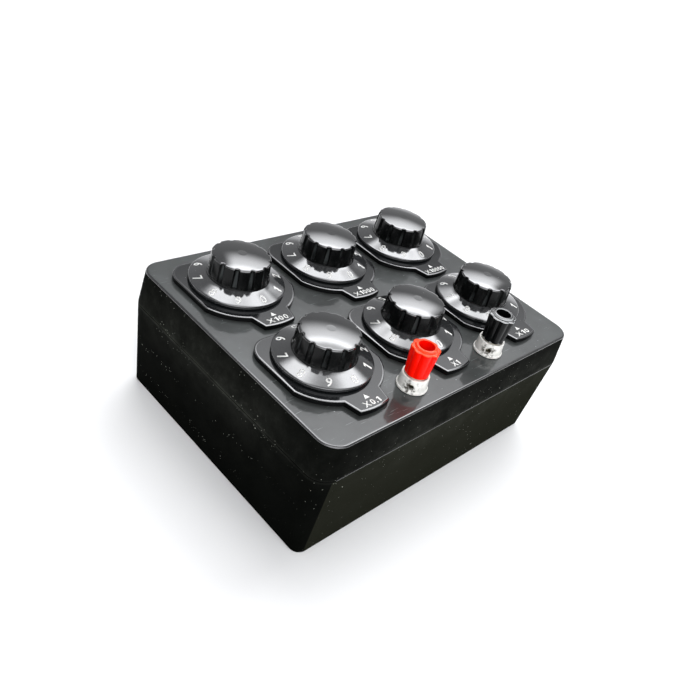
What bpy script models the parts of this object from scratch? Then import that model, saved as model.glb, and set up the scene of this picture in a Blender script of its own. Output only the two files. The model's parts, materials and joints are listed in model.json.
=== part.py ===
# Six decade resistance box: moulded case, six rotary dials, two binding posts.
# +X runs left to right for the user, +Y to the back, +Z up, z = 0 on the table.
# Dial and post pieces are drawn with z = 0 on the panel's top face.

import math

import bmesh
import bpy
from mathutils import Matrix, Vector

MM = 0.001
TURN = 2 * math.pi

# Clearances
CLEAR = 0.3 * MM
RUNNING_GAP = 0.6 * MM
OVERRUN = 1.0 * MM
MERGE = 0.01 * MM
SHARP_ANGLE = math.radians(35)

# Dial knob
SKIRT_RADIUS = 20.4 * MM
SKIRT_RUN = 0.5 * MM
SKIRT_RIM = 1.3 * MM
SKIRT_RISE = 2.4 * MM
SKIRT_RIM_WALL = 1.2 * MM
SKIRT_WALL = 1.6 * MM
GRIP_BASE_RADIUS = 13.0 * MM
GRIP_TOP_RADIUS = 12.5 * MM
GRIP_HEIGHT = 9.3 * MM
GRIP_EDGE = 0.5 * MM
DOME_RISE = 1.1 * MM
DOME_SHOULDER_SHARE = 0.66
DOME_SHOULDER_RISE_SHARE = 0.7
FLUTE_COUNT = 12
FLUTE_RADIUS = 1.2 * MM
FLUTE_DEPTH = 0.9 * MM
FLUTE_SILL = 0.5 * MM
FLUTE_START = math.radians(15)
BORE_ROOF = 4.0 * MM
NUT_SPACE = 1.0 * MM

# Index plate under each dial
PLATE_THICKNESS = 2.1 * MM
PLATE_SIDE_SHOW = 2.4 * MM
PLATE_FRONT_SHOW = 4.1 * MM
PLATE_BACK_TUCK = 0.4 * MM
PLATE_CORNER = 9.4 * MM
TAB_LENGTH = 5.9 * MM
TAB_ROOT_HALF = 9.5 * MM
TAB_END_HALF = 7.7 * MM

# Rotary switch
SHAFT_RADIUS = 3.0 * MM
BUSH_WALL = 1.4 * MM
BUSH_PROUD = 1.0 * MM
NUT_FLATS = 14.0 * MM
NUT_HEIGHT = 2.5 * MM
NUT_SIDES = 6
DECK_THICKNESS = 3.0 * MM
CONTACT_COUNT = 10
CONTACT_RADIUS = 1.4 * MM
CONTACT_CIRCLE = 13.0 * MM
CONTACT_DROP = 1.5 * MM
WIPER_HUB_RADIUS = 4.5 * MM
WIPER_WIDTH = 4.0 * MM
WIPER_THICKNESS = 1.2 * MM
LUG_WIDTH = 3.0 * MM
LUG_THICKNESS = 1.2 * MM
LUG_OVERHANG = 1.5 * MM
LUG_DROP = 0.9 * MM
DECK_SETBACK = 1.5 * MM

# Resistor bank under each deck
BOBBIN_COUNT = 9
BOBBIN_RADIUS = 2.2 * MM
BOBBIN_LENGTH = 12.9 * MM
BANK_LIP = 0.3 * MM
BANK_THICKNESS = 1.2 * MM

# Binding post
STUD_RADIUS = 2.95 * MM
STUD_PROUD = 13.7 * MM
STUD_TAIL = 12.0 * MM
PLUG_BORE_RADIUS = 2.05 * MM
PLUG_BORE_DEPTH = 8.6 * MM
WIRE_HOLE_RADIUS = 1.2 * MM
WIRE_HOLE_HEIGHT = 3.3 * MM
WIRE_HOLE_ANGLE = math.radians(-150)
FLANGE_RADIUS = 4.3 * MM
FLANGE_THICKNESS = 0.8 * MM
COLLAR_RADIUS = 6.2 * MM
COLLAR_WALL = 1.3 * MM
COLLAR_HEIGHT = 6.3 * MM
COLLAR_FLOOR = 0.5 * MM
COLLAR_FOOT_WIDTH = 0.3 * MM
COLLAR_FOOT_HEIGHT = 0.7 * MM
SPIGOT_WALL = 0.95 * MM
SPIGOT_DEPTH = 2.6 * MM
CLAMP_RING_HEIGHT = 1.8 * MM
CAP_BASE_RADIUS = 5.0 * MM
CAP_RIM_RADIUS = 5.95 * MM
CAP_HEIGHT = 12.2 * MM
CAP_CROWN_RADIUS = 4.7 * MM
CAP_CROWN_HEIGHT = 0.9 * MM
CAP_EDGE = 0.4 * MM
CAP_RIB_COUNT = 8
CAP_RIB_DEPTH = 0.5 * MM
STUD_NUT_FLATS = 10.0 * MM
STUD_NUT_HEIGHT = 3.0 * MM
POST_SPREAD = 0.35 * MM
POST_CENTRE_X = -0.6 * MM
POST_MARGIN = 11.8 * MM

# Hook-up leads
LEAD_RADIUS = 0.8 * MM
LEAD_SAG = 5.0 * MM
LEAD_SPAN = 8.0 * MM
LEAD_POINTS = 11
LEAD_HEIGHT_ON_STUD = 9.3 * MM

# Case
CASE_HEIGHT = 59.6 * MM
LID_HEIGHT = 16.3 * MM
SIDE_MARGIN = 6.5 * MM
FRONT_MARGIN = 8.4 * MM
BACK_MARGIN = 8.9 * MM
PLATE_GAP = 5.4 * MM
ROW_GAP = 5.1 * MM
LID_FLARE_X = 1.6 * MM
LID_FLARE_Y = 0.75 * MM
BASE_TAPER_X = 3.25 * MM
BASE_TAPER_Y = 2.55 * MM
TOP_CORNER = 8.6 * MM
PARTING_CORNER = 8.3 * MM
BOTTOM_CORNER = 4.5 * MM
TOP_EDGE = 0.7 * MM
BOTTOM_EDGE = 0.8 * MM
PARTING_GAP = 0.4 * MM
WALL = 2.5 * MM
FLOOR = 2.5 * MM
PANEL_THICKNESS = 3.0 * MM
LIP_WALL = 1.1 * MM
TONGUE_HEIGHT = 1.5 * MM
MIN_CORNER = 0.5 * MM

# Case screws and the columns that hold them
SCREW_RADIUS = 1.45 * MM
SCREW_LENGTH = 16.0 * MM
SCREW_TIP = 0.8 * MM
SCREW_HEAD_RADIUS = 3.0 * MM
SCREW_HEAD_HEIGHT = 2.2 * MM
SCREW_RECESS = 1.0 * MM
SLOT_WIDTH = 0.9 * MM
SLOT_DEPTH = 1.1 * MM
COLUMN_WALL = 1.8 * MM
COLUMN_HEIGHT = 9.0 * MM
COLUMN_INSET = 1.5 * MM
PILLAR_RADIUS = 4.0 * MM
PILOT_SPARE = 1.5 * MM
INNER_GAP = 1.5 * MM

# Facet counts
KNOB_STEPS = 24
TURNED_STEPS = 16
SMALL_STEPS = 12
FLUTE_STEPS = 8
BOBBIN_STEPS = 6
CORNER_STEPS = 5
CAP_STEPS_PER_RIB = 4
LEAD_BEVEL_STEPS = 2

# Dials by column and row, in wiring order from the red post to the black one
COLUMNS = 3
DIALS = [
    ("tenths", 0, 0),
    ("hundreds", 0, 1),
    ("thousands", 1, 1),
    ("ten_thousands", 2, 1),
    ("tens", 2, 0),
    ("units", 1, 0),
]

# Sizes that follow from the ones above
plate_half_width = SKIRT_RADIUS + PLATE_SIDE_SHOW
plate_front_radius = SKIRT_RADIUS + PLATE_FRONT_SHOW
plate_back = SKIRT_RADIUS - PLATE_BACK_TUCK
tab_reach = plate_front_radius + TAB_LENGTH
plate_top = CLEAR + PLATE_THICKNESS

bush_bore = SHAFT_RADIUS + CLEAR
bush_radius = bush_bore + BUSH_WALL
nut_base = plate_top + CLEAR
nut_top = nut_base + NUT_HEIGHT
nut_reach = NUT_FLATS / 2 / math.cos(TURN / 2 / NUT_SIDES)
bush_top = nut_top + BUSH_PROUD
skirt_base = plate_top + SKIRT_RUN
cone_base = skirt_base + SKIRT_RIM
grip_base = cone_base + SKIRT_RISE
grip_top = grip_base + GRIP_HEIGHT
cavity_radius = nut_reach + NUT_SPACE
cavity_roof = bush_top + SKIRT_RUN
shaft_top = grip_top + DOME_RISE - BORE_ROOF - CLEAR

deck_top = -PANEL_THICKNESS - CLEAR
deck_base = deck_top - DECK_THICKNESS
contact_base = deck_base - CONTACT_DROP
wiper_top = contact_base - CLEAR
wiper_base = wiper_top - WIPER_THICKNESS
wiper_reach = CONTACT_CIRCLE + CONTACT_RADIUS
bank_inner = wiper_reach + RUNNING_GAP
bobbin_circle = bank_inner + BANK_LIP + BOBBIN_RADIUS
bank_outer = bobbin_circle + BOBBIN_RADIUS + BANK_LIP
bank_top = deck_base - CLEAR
bank_base = bank_top - BANK_THICKNESS
deck_radius = bank_outer - DECK_SETBACK
lug_tip = bank_outer + LUG_OVERHANG
lug_top = deck_top - LUG_DROP
lug_middle = lug_top - LUG_THICKNESS / 2

pitch_x = max(2 * plate_half_width + PLATE_GAP, 2 * lug_tip + LEAD_SPAN)
pitch_y = max(tab_reach + plate_back + ROW_GAP, 2 * lug_tip + LEAD_SPAN)

counterbore_radius = SCREW_HEAD_RADIUS + CLEAR
screw_hole_radius = SCREW_RADIUS + CLEAR
column_radius = counterbore_radius + COLUMN_WALL
column_setback = WALL + column_radius + COLUMN_INSET
column_from_side = column_setback + BASE_TAPER_X - LID_FLARE_X
column_from_back = column_setback + BASE_TAPER_Y - LID_FLARE_Y
pillar_reach = bank_outer + INNER_GAP + PILLAR_RADIUS
side_room = max(plate_half_width + SIDE_MARGIN, bank_outer + INNER_GAP + WALL)
pillar_aside = min(side_room - column_from_side, pillar_reach)
pillar_behind = math.sqrt(pillar_reach ** 2 - pillar_aside ** 2)
back_room = max(plate_back + BACK_MARGIN, pillar_behind + column_from_back)
front_room = max(tab_reach + FRONT_MARGIN, pillar_behind + column_from_back)

top_width = (COLUMNS - 1) * pitch_x + 2 * side_room
top_depth = front_room + pitch_y + back_room
parting_width = top_width + 2 * LID_FLARE_X
parting_depth = top_depth + 2 * LID_FLARE_Y
bottom_width = parting_width - 2 * BASE_TAPER_X
bottom_depth = parting_depth - 2 * BASE_TAPER_Y
front_row_y = -top_depth / 2 + front_room
post_y = -top_depth / 2 + POST_MARGIN
parting_z = CASE_HEIGHT - LID_HEIGHT
rim_z = parting_z - PARTING_GAP / 2
lid_base_z = parting_z + PARTING_GAP / 2

seat_z = SCREW_RECESS + SCREW_HEAD_HEIGHT + CLEAR
column_top = max(COLUMN_HEIGHT, seat_z + COLUMN_WALL)
pillar_base = column_top + CLEAR
column_x = bottom_width / 2 - column_setback
column_y = bottom_depth / 2 - column_setback

collar_base = CLEAR
collar_top = collar_base + COLLAR_HEIGHT
collar_bore = COLLAR_RADIUS - COLLAR_WALL
stud_bore = STUD_RADIUS + CLEAR
spigot_radius = stud_bore + SPIGOT_WALL
flange_base = collar_base + COLLAR_FLOOR + CLEAR
clamp_radius = collar_bore - CLEAR
clamp_top = collar_top
cap_base = collar_top + CLEAR
cap_rim_top = cap_base + CAP_HEIGHT
cap_top = cap_rim_top + CAP_CROWN_HEIGHT


def make_collection(name):
    collection = bpy.data.collections.new(name)
    bpy.context.scene.collection.children.link(collection)
    return collection


def make_material(name, colour, roughness, metallic=0.0, transmission=0.0):
    material = bpy.data.materials.new(name)
    material.use_nodes = True
    shader = material.node_tree.nodes["Principled BSDF"]
    shader.inputs["Base Color"].default_value = (*colour, 1.0)
    shader.inputs["Roughness"].default_value = roughness
    shader.inputs["Metallic"].default_value = metallic
    shader.inputs["Transmission Weight"].default_value = transmission
    material.diffuse_color = (*colour, 1.0)
    return material


for old_object in list(bpy.data.objects):
    bpy.data.objects.remove(old_object, do_unlink=True)
parts = make_collection("Resistance box")
tools = make_collection("Cutters")

gloss_black = make_material("Gloss black plastic", (0.010, 0.010, 0.011), 0.12)
case_black = make_material("Moulded case plastic", (0.012, 0.012, 0.013), 0.2)
plate_black = make_material("Index plate plastic", (0.010, 0.010, 0.011), 0.12)
red_plastic = make_material("Red plastic", (0.75, 0.01, 0.005), 0.25)
clear_plastic = make_material("Clear plastic", (0.9, 0.92, 0.9), 0.08, transmission=0.9)
nickel = make_material("Nickel plated brass", (0.66, 0.62, 0.54), 0.25, metallic=1.0)
brass = make_material("Brass", (0.62, 0.42, 0.14), 0.3, metallic=1.0)
zinc_steel = make_material("Zinc plated steel", (0.55, 0.55, 0.55), 0.35, metallic=1.0)
phenolic = make_material("Brown phenolic board", (0.16, 0.06, 0.02), 0.5)
bobbin_card = make_material("Wound bobbins", (0.35, 0.22, 0.10), 0.6)
lead_yellow = make_material("Yellow lead insulation", (0.7, 0.5, 0.05), 0.45)


def add_object(name, data, location=(0, 0, 0), angle=0.0, collection=parts):
    made = bpy.data.objects.new(name, data)
    made.location = location
    made.rotation_euler = (0, 0, angle)
    collection.objects.link(made)
    return made


def place(name, mesh, material, location=(0, 0, 0), angle=0.0):
    """Put a copy of a finished mesh in the model under its own name."""
    if not mesh.materials:
        mesh.materials.append(material)
    return add_object(name, mesh, location, angle)


def as_tool(made):
    made.hide_render = True
    made.display_type = "WIRE"
    return made


def mesh_from(work, name):
    """Turn a bmesh into a mesh whose faces point out."""
    bmesh.ops.recalc_face_normals(work, faces=work.faces)
    mesh = bpy.data.meshes.new(name)
    work.to_mesh(mesh)
    work.free()
    return mesh


def baked(made):
    """Replace a working object by the mesh that its modifiers give."""
    view = bpy.context.evaluated_depsgraph_get()
    mesh = bpy.data.meshes.new_from_object(made.evaluated_get(view))
    mesh.materials.clear()
    bpy.data.objects.remove(made, do_unlink=True)
    mesh.shade_smooth()
    mesh.set_sharp_from_angle(angle=SHARP_ANGLE)
    return mesh


def boolean(target, tool, operation):
    step = target.modifiers.new(tool.name, "BOOLEAN")
    step.operation = operation
    step.solver = "EXACT"
    step.object = tool


def turned(name, profile, steps, closed=False):
    """Working object that turns a profile of (radius, height) about +Z."""
    count = len(profile)
    edges = [(i, i + 1) for i in range(count - 1)]
    if closed:
        edges.append((count - 1, 0))
    mesh = bpy.data.meshes.new(name)
    mesh.from_pydata([(radius, 0, height) for radius, height in profile], edges, [])
    made = add_object(name, mesh, collection=tools)
    screw = made.modifiers.new("Turn", "SCREW")
    screw.steps = steps
    screw.render_steps = steps
    screw.use_merge_vertices = True
    screw.merge_threshold = MERGE
    return made


def skin(rings, closed=False):
    """Loft a bmesh through rings of equal count, capped or closed on itself."""
    work = bmesh.new()
    rows = [[work.verts.new(point) for point in ring] for ring in rings]
    pairs = list(zip(rows, rows[1:]))
    if closed:
        pairs.append((rows[-1], rows[0]))
    else:
        work.faces.new(reversed(rows[0]))
        work.faces.new(rows[-1])
    for lower, upper in pairs:
        for i in range(len(lower)):
            j = (i + 1) % len(lower)
            work.faces.new((lower[i], lower[j], upper[j], upper[i]))
    return work


def rounded_ring(width, depth, corner, height):
    """Points of a rounded rectangle about the origin at one height."""
    corner = max(corner, MIN_CORNER)
    points = []
    for quarter in range(4):
        middle = TURN / 8 + quarter * TURN / 4
        centre_x = math.copysign(width / 2 - corner, math.cos(middle))
        centre_y = math.copysign(depth / 2 - corner, math.sin(middle))
        for step in range(CORNER_STEPS + 1):
            angle = quarter * TURN / 4 + TURN / 4 * step / CORNER_STEPS
            points.append((
                centre_x + corner * math.cos(angle),
                centre_y + corner * math.sin(angle),
                height,
            ))
    return points


def inset_ring(section, inset, height):
    width, depth, corner = section
    return rounded_ring(width - 2 * inset, depth - 2 * inset, corner - inset, height)


def between(low, high, share):
    return tuple(a + (b - a) * share for a, b in zip(low, high))


def disc_tool(name, radius, low, high, steps=SMALL_STEPS, at=(0, 0)):
    """Upright cylinder between two heights, kept with the cutters."""
    work = bmesh.new()
    bmesh.ops.create_cone(
        work, cap_ends=True, segments=steps, radius1=radius, radius2=radius,
        depth=high - low,
        matrix=Matrix.Translation((*at, (low + high) / 2)),
    )
    return as_tool(add_object(name, mesh_from(work, name), collection=tools))


def box_into(work, size, centre, angle=0.0):
    """Add a box of one size to a bmesh, turned about the Z axis."""
    matrix = Matrix.Rotation(angle, 4, "Z") @ Matrix.Translation(centre)
    matrix = matrix @ Matrix.Diagonal((*size, 1))
    bmesh.ops.create_cube(work, size=1, matrix=matrix)


def box_tool(name, size, centre, angle=0.0):
    work = bmesh.new()
    box_into(work, size, centre, angle)
    return as_tool(add_object(name, mesh_from(work, name), collection=tools))


def ring_of_rods(name, count, circle, radius, low, high, steps, start=0.0):
    """Upright rods spaced evenly on a circle, as one cutter or tool."""
    work = bmesh.new()
    for i in range(count):
        angle = start + TURN * i / count
        place_at = Vector((circle * math.cos(angle), circle * math.sin(angle), (low + high) / 2))
        bmesh.ops.create_cone(
            work, cap_ends=True, segments=steps, radius1=radius, radius2=radius,
            depth=high - low,
            matrix=Matrix.Translation(place_at) @ Matrix.Rotation(angle, 4, "Z"),
        )
    return as_tool(add_object(name, mesh_from(work, name), collection=tools))


def four_corners(x, y):
    return [(x * side_x, y * side_y) for side_y in (-1, 1) for side_x in (-1, 1)]


# Case
bottom_section = (bottom_width, bottom_depth, BOTTOM_CORNER)
parting_section = (parting_width, parting_depth, PARTING_CORNER)
top_section = (top_width, top_depth, TOP_CORNER)


def base_section(height):
    return between(bottom_section, parting_section, height / parting_z)


def lid_section(height):
    return between(parting_section, top_section, (height - parting_z) / LID_HEIGHT)


def dial_place(column, row):
    x = (column - (COLUMNS - 1) / 2) * pitch_x
    return x, front_row_y + row * pitch_y


dial_places = [dial_place(column, row) for name, column, row in DIALS]
post_reach = pitch_x / 2 + POST_SPREAD
post_places = [(POST_CENTRE_X + side * post_reach, post_y) for side in (-1, 1)]


def make_base():
    """Tray with tapered walls, a tongue round its rim and four screw columns."""
    tongue_top = rim_z + TONGUE_HEIGHT
    rim = base_section(rim_z)
    work = skin([
        inset_ring(bottom_section, BOTTOM_EDGE, 0),
        inset_ring(base_section(BOTTOM_EDGE), 0, BOTTOM_EDGE),
        inset_ring(rim, 0, rim_z),
        inset_ring(rim, LIP_WALL + CLEAR, rim_z),
        inset_ring(rim, LIP_WALL + CLEAR, tongue_top),
        inset_ring(rim, WALL, tongue_top),
        inset_ring(base_section(FLOOR), WALL, FLOOR),
    ])
    base = add_object("case_base", mesh_from(work, "case_base"))
    base.data.materials.append(case_black)
    for i, spot in enumerate(four_corners(column_x, column_y)):
        column = disc_tool(f"column {i}", column_radius, FLOOR / 2, column_top, TURNED_STEPS, spot)
        boolean(base, column, "UNION")
    for i, spot in enumerate(four_corners(column_x, column_y)):
        recess = disc_tool(f"recess {i}", counterbore_radius, -OVERRUN, seat_z, SMALL_STEPS, spot)
        hole = disc_tool(
            f"screw hole {i}", screw_hole_radius, seat_z - OVERRUN, column_top + OVERRUN,
            SMALL_STEPS, spot)
        boolean(base, recess, "DIFFERENCE")
        boolean(base, hole, "DIFFERENCE")


def make_lid():
    """Cover with the panel on top, a rebate for the tongue and four pillars."""
    panel_base = CASE_HEIGHT - PANEL_THICKNESS
    rebate_top = rim_z + TONGUE_HEIGHT + CLEAR
    edge_z = CASE_HEIGHT - TOP_EDGE
    rim = lid_section(lid_base_z)
    work = skin([
        inset_ring(lid_section(panel_base), WALL, panel_base),
        inset_ring(rim, WALL, rebate_top),
        inset_ring(rim, LIP_WALL, rebate_top),
        inset_ring(rim, LIP_WALL, lid_base_z),
        inset_ring(rim, 0, lid_base_z),
        inset_ring(lid_section(edge_z), 0, edge_z),
        inset_ring(top_section, TOP_EDGE, CASE_HEIGHT),
    ])
    lid = add_object("case_lid", mesh_from(work, "case_lid"))
    lid.data.materials.append(case_black)
    for i, spot in enumerate(four_corners(column_x, column_y)):
        pillar = disc_tool(
            f"pillar {i}", PILLAR_RADIUS, pillar_base, CASE_HEIGHT - PANEL_THICKNESS / 2,
            SMALL_STEPS, spot)
        boolean(lid, pillar, "UNION")
    pilot_top = seat_z + SCREW_LENGTH + PILOT_SPARE
    for i, spot in enumerate(four_corners(column_x, column_y)):
        pilot = disc_tool(
            f"pilot {i}", screw_hole_radius, pillar_base - OVERRUN, pilot_top, SMALL_STEPS, spot)
        boolean(lid, pilot, "DIFFERENCE")
    openings = [(spot, bush_radius + CLEAR) for spot in dial_places]
    openings += [(spot, spigot_radius + CLEAR) for spot in post_places]
    for i, (spot, radius) in enumerate(openings):
        hole = disc_tool(
            f"panel hole {i}", radius, panel_base - OVERRUN, CASE_HEIGHT + OVERRUN,
            TURNED_STEPS, spot)
        boolean(lid, hole, "DIFFERENCE")


def make_screws():
    """Four screws that come up through the base into the lid's pillars."""
    head_top = seat_z - CLEAR
    head_base = head_top - SCREW_HEAD_HEIGHT
    tip = head_top + SCREW_LENGTH
    shape = turned("screw shape", [
        (0, tip),
        (SCREW_RADIUS - SCREW_TIP / 2, tip),
        (SCREW_RADIUS, tip - SCREW_TIP),
        (SCREW_RADIUS, head_top),
        (SCREW_HEAD_RADIUS, head_top),
        (SCREW_HEAD_RADIUS, head_base + SCREW_HEAD_HEIGHT / 2),
        (SCREW_HEAD_RADIUS - SCREW_HEAD_HEIGHT / 4, head_base),
        (0, head_base),
    ], SMALL_STEPS)
    slot_size = (2 * SCREW_HEAD_RADIUS + OVERRUN, SLOT_WIDTH, 2 * SLOT_DEPTH)
    boolean(shape, box_tool("screw slot", slot_size, (0, 0, head_base)), "DIFFERENCE")
    mesh = baked(shape)
    for i, (x, y) in enumerate(four_corners(column_x, column_y)):
        place(f"case_screw_{i + 1}", mesh, zinc_steel, (x, y, 0), TURN * i / 8)


# Dials
def make_knob_mesh():
    """Grip and number skirt as one moulding, hollow over the nut."""
    roof_z = grip_top + DOME_RISE
    bore_top = roof_z - BORE_ROOF
    inner_rim = SKIRT_RADIUS - SKIRT_RIM_WALL
    knob = turned("knob shape", [
        (0, roof_z),
        (GRIP_TOP_RADIUS * DOME_SHOULDER_SHARE, grip_top + DOME_RISE * DOME_SHOULDER_RISE_SHARE),
        (GRIP_TOP_RADIUS - GRIP_EDGE, grip_top),
        (GRIP_TOP_RADIUS, grip_top - GRIP_EDGE),
        (GRIP_BASE_RADIUS, grip_base),
        (SKIRT_RADIUS, cone_base),
        (SKIRT_RADIUS, skirt_base),
        (inner_rim, skirt_base),
        (GRIP_BASE_RADIUS, grip_base - SKIRT_WALL),
        (cavity_radius, grip_base - SKIRT_WALL),
        (cavity_radius, cavity_roof),
        (bush_bore, cavity_roof),
        (bush_bore, bore_top),
        (0, bore_top),
    ], KNOB_STEPS)
    flutes = ring_of_rods(
        "flutes", FLUTE_COUNT, GRIP_TOP_RADIUS - FLUTE_DEPTH + FLUTE_RADIUS, FLUTE_RADIUS,
        grip_base + FLUTE_SILL, roof_z + OVERRUN, FLUTE_STEPS, FLUTE_START)
    boolean(knob, flutes, "DIFFERENCE")
    return baked(knob)


def arc_points(centre, radius, start, end, steps):
    for i in range(steps + 1):
        angle = start + (end - start) * i / steps
        yield centre[0] + radius * math.cos(angle), centre[1] + radius * math.sin(angle)


def plate_outline():
    """Rounded at the back, round at the front, with a label tab."""
    half = plate_half_width
    inner_x = half - PLATE_CORNER
    inner_y = plate_back - PLATE_CORNER
    side_angle = math.acos(half / plate_front_radius)
    root_angle = math.acos(TAB_ROOT_HALF / plate_front_radius)
    end_angle = math.acos(TAB_END_HALF / tab_reach)
    points = list(arc_points((inner_x, inner_y), PLATE_CORNER, 0, TURN / 4, CORNER_STEPS))
    points += arc_points((-inner_x, inner_y), PLATE_CORNER, TURN / 4, TURN / 2, CORNER_STEPS)
    points += arc_points(
        (0, 0), plate_front_radius, TURN / 2 + side_angle, TURN / 2 + root_angle, CORNER_STEPS)
    points += arc_points(
        (0, 0), tab_reach, TURN / 2 + end_angle, TURN - end_angle, CORNER_STEPS)
    points += arc_points(
        (0, 0), plate_front_radius, TURN - root_angle, TURN - side_angle, CORNER_STEPS)
    return points


def flat_mesh(name, outlines, low, high):
    """Flat piece cut from outlines, the first outside and the rest holes."""
    curve = bpy.data.curves.new(name, "CURVE")
    curve.dimensions = "2D"
    curve.fill_mode = "BOTH"
    curve.extrude = (high - low) / 2
    for outline in outlines:
        spline = curve.splines.new("POLY")
        spline.points.add(len(outline) - 1)
        for point, (x, y) in zip(spline.points, outline):
            point.co = (x, y, 0, 1)
        spline.use_cyclic_u = True
    work_object = add_object(name, curve, collection=tools)
    view = bpy.context.evaluated_depsgraph_get()
    mesh = bpy.data.meshes.new_from_object(work_object.evaluated_get(view))
    bpy.data.objects.remove(work_object, do_unlink=True)
    work = bmesh.new()
    work.from_mesh(mesh)
    bpy.data.meshes.remove(mesh)
    bmesh.ops.remove_doubles(work, verts=work.verts, dist=MERGE)
    bmesh.ops.translate(work, verts=work.verts, vec=(0, 0, (low + high) / 2))
    return mesh_from(work, name)


def circle_points(radius, steps, start=0.0):
    return list(arc_points((0, 0), radius, start, start + TURN * (steps - 1) / steps, steps - 1))


def make_plate_mesh():
    hole = circle_points(bush_radius + CLEAR, TURNED_STEPS)
    return flat_mesh("index plate shape", [plate_outline(), hole], CLEAR, plate_top)


def make_nut_mesh(name, flats, bore, low, high):
    reach = flats / 2 / math.cos(TURN / 2 / NUT_SIDES)
    outline = circle_points(reach, NUT_SIDES)
    return flat_mesh(name, [outline, circle_points(bore, SMALL_STEPS)], low, high)


def make_shaft_mesh():
    """Switch shaft with the wiper arm on its lower end, pointing to -Y."""
    shaft = turned("shaft shape", [
        (0, shaft_top),
        (SHAFT_RADIUS, shaft_top),
        (SHAFT_RADIUS, wiper_top),
        (WIPER_HUB_RADIUS, wiper_top),
        (WIPER_HUB_RADIUS, wiper_base),
        (0, wiper_base),
    ], SMALL_STEPS)
    arm_length = math.sqrt(wiper_reach ** 2 - (WIPER_WIDTH / 2) ** 2)
    arm_size = (WIPER_WIDTH, arm_length, WIPER_THICKNESS)
    arm = box_tool("wiper arm", arm_size, (0, -arm_length / 2, (wiper_top + wiper_base) / 2))
    boolean(shaft, arm, "UNION")
    return baked(shaft)


def make_switch_mesh(lug_angles):
    """Threaded bush, deck, ring of contacts and two solder lugs."""
    switch = turned("switch shape", [
        (bush_bore, bush_top),
        (bush_radius, bush_top),
        (bush_radius, deck_top),
        (deck_radius, deck_top),
        (deck_radius, deck_base),
        (bush_bore, deck_base),
    ], TURNED_STEPS, closed=True)
    contacts = ring_of_rods(
        "contacts", CONTACT_COUNT, CONTACT_CIRCLE, CONTACT_RADIUS,
        contact_base, (deck_top + deck_base) / 2, BOBBIN_STEPS, -TURN / 4)
    boolean(switch, contacts, "UNION")
    lug_root = deck_radius - LUG_WIDTH / 2
    lug_size = (lug_tip - lug_root, LUG_WIDTH, LUG_THICKNESS)
    for i, angle in enumerate(lug_angles):
        centre = ((lug_root + lug_tip) / 2, 0, lug_middle)
        boolean(switch, box_tool(f"lug {i}", lug_size, centre, angle), "UNION")
    return baked(switch)


def make_bank_mesh():
    """Carrier ring with its wound bobbins hanging from it."""
    bank = turned("bank shape", [
        (bank_inner, bank_top),
        (bank_outer, bank_top),
        (bank_outer, bank_base),
        (bank_inner, bank_base),
    ], TURNED_STEPS, closed=True)
    low = bank_base - BOBBIN_LENGTH
    bobbins = ring_of_rods(
        "bobbins", BOBBIN_COUNT, bobbin_circle, BOBBIN_RADIUS, low,
        (bank_top + bank_base) / 2, BOBBIN_STEPS, -TURN / 4 + TURN / CONTACT_COUNT / 2)
    boolean(bank, bobbins, "UNION")
    return baked(bank)


def heading(start, end):
    return math.atan2(end[1] - start[1], end[0] - start[0])


def make_dials():
    """One set of pieces for each dial, with lugs facing the next piece."""
    knob_mesh = make_knob_mesh()
    plate_mesh = make_plate_mesh()
    nut_mesh = make_nut_mesh("bush nut shape", NUT_FLATS, bush_radius + CLEAR, nut_base, nut_top)
    shaft_mesh = make_shaft_mesh()
    bank_mesh = make_bank_mesh()
    route = [post_places[0], *dial_places, post_places[1]]
    for i, (name, column, row) in enumerate(DIALS):
        x, y = dial_places[i]
        place_at = (x, y, CASE_HEIGHT)
        lug_angles = [heading((x, y), route[i]), heading((x, y), route[i + 2])]
        place(f"knob_{name}", knob_mesh, gloss_black, place_at)
        place(f"index_plate_{name}", plate_mesh, plate_black, place_at)
        place(f"bush_nut_{name}", nut_mesh, nickel, place_at)
        place(f"switch_shaft_{name}", shaft_mesh, brass, place_at)
        place(f"switch_body_{name}", make_switch_mesh(lug_angles), phenolic, place_at)
        place(f"resistor_bank_{name}", bank_mesh, bobbin_card, place_at)


# Binding posts
def side_hole(name, radius, length):
    """Level cutter through the post for the wire."""
    work = bmesh.new()
    matrix = Matrix.Translation((0, 0, WIRE_HOLE_HEIGHT))
    matrix = matrix @ Matrix.Rotation(WIRE_HOLE_ANGLE, 4, "Z") @ Matrix.Rotation(TURN / 4, 4, "Y")
    bmesh.ops.create_cone(
        work, cap_ends=True, segments=SMALL_STEPS, radius1=radius, radius2=radius,
        depth=length, matrix=matrix)
    return as_tool(add_object(name, mesh_from(work, name), collection=tools))


def make_stud_mesh():
    """Threaded stud with a plug bore on top and a cross hole for wire."""
    bore_base = STUD_PROUD - PLUG_BORE_DEPTH
    stud = turned("stud shape", [
        (0, bore_base),
        (PLUG_BORE_RADIUS, bore_base),
        (PLUG_BORE_RADIUS, STUD_PROUD),
        (STUD_RADIUS, STUD_PROUD),
        (STUD_RADIUS, flange_base + FLANGE_THICKNESS),
        (FLANGE_RADIUS, flange_base + FLANGE_THICKNESS),
        (FLANGE_RADIUS, flange_base),
        (STUD_RADIUS, flange_base),
        (STUD_RADIUS, -STUD_TAIL),
        (0, -STUD_TAIL),
    ], SMALL_STEPS)
    hole = side_hole("stud wire hole", WIRE_HOLE_RADIUS, 2 * STUD_RADIUS + OVERRUN)
    boolean(stud, hole, "DIFFERENCE")
    return baked(stud)


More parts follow.
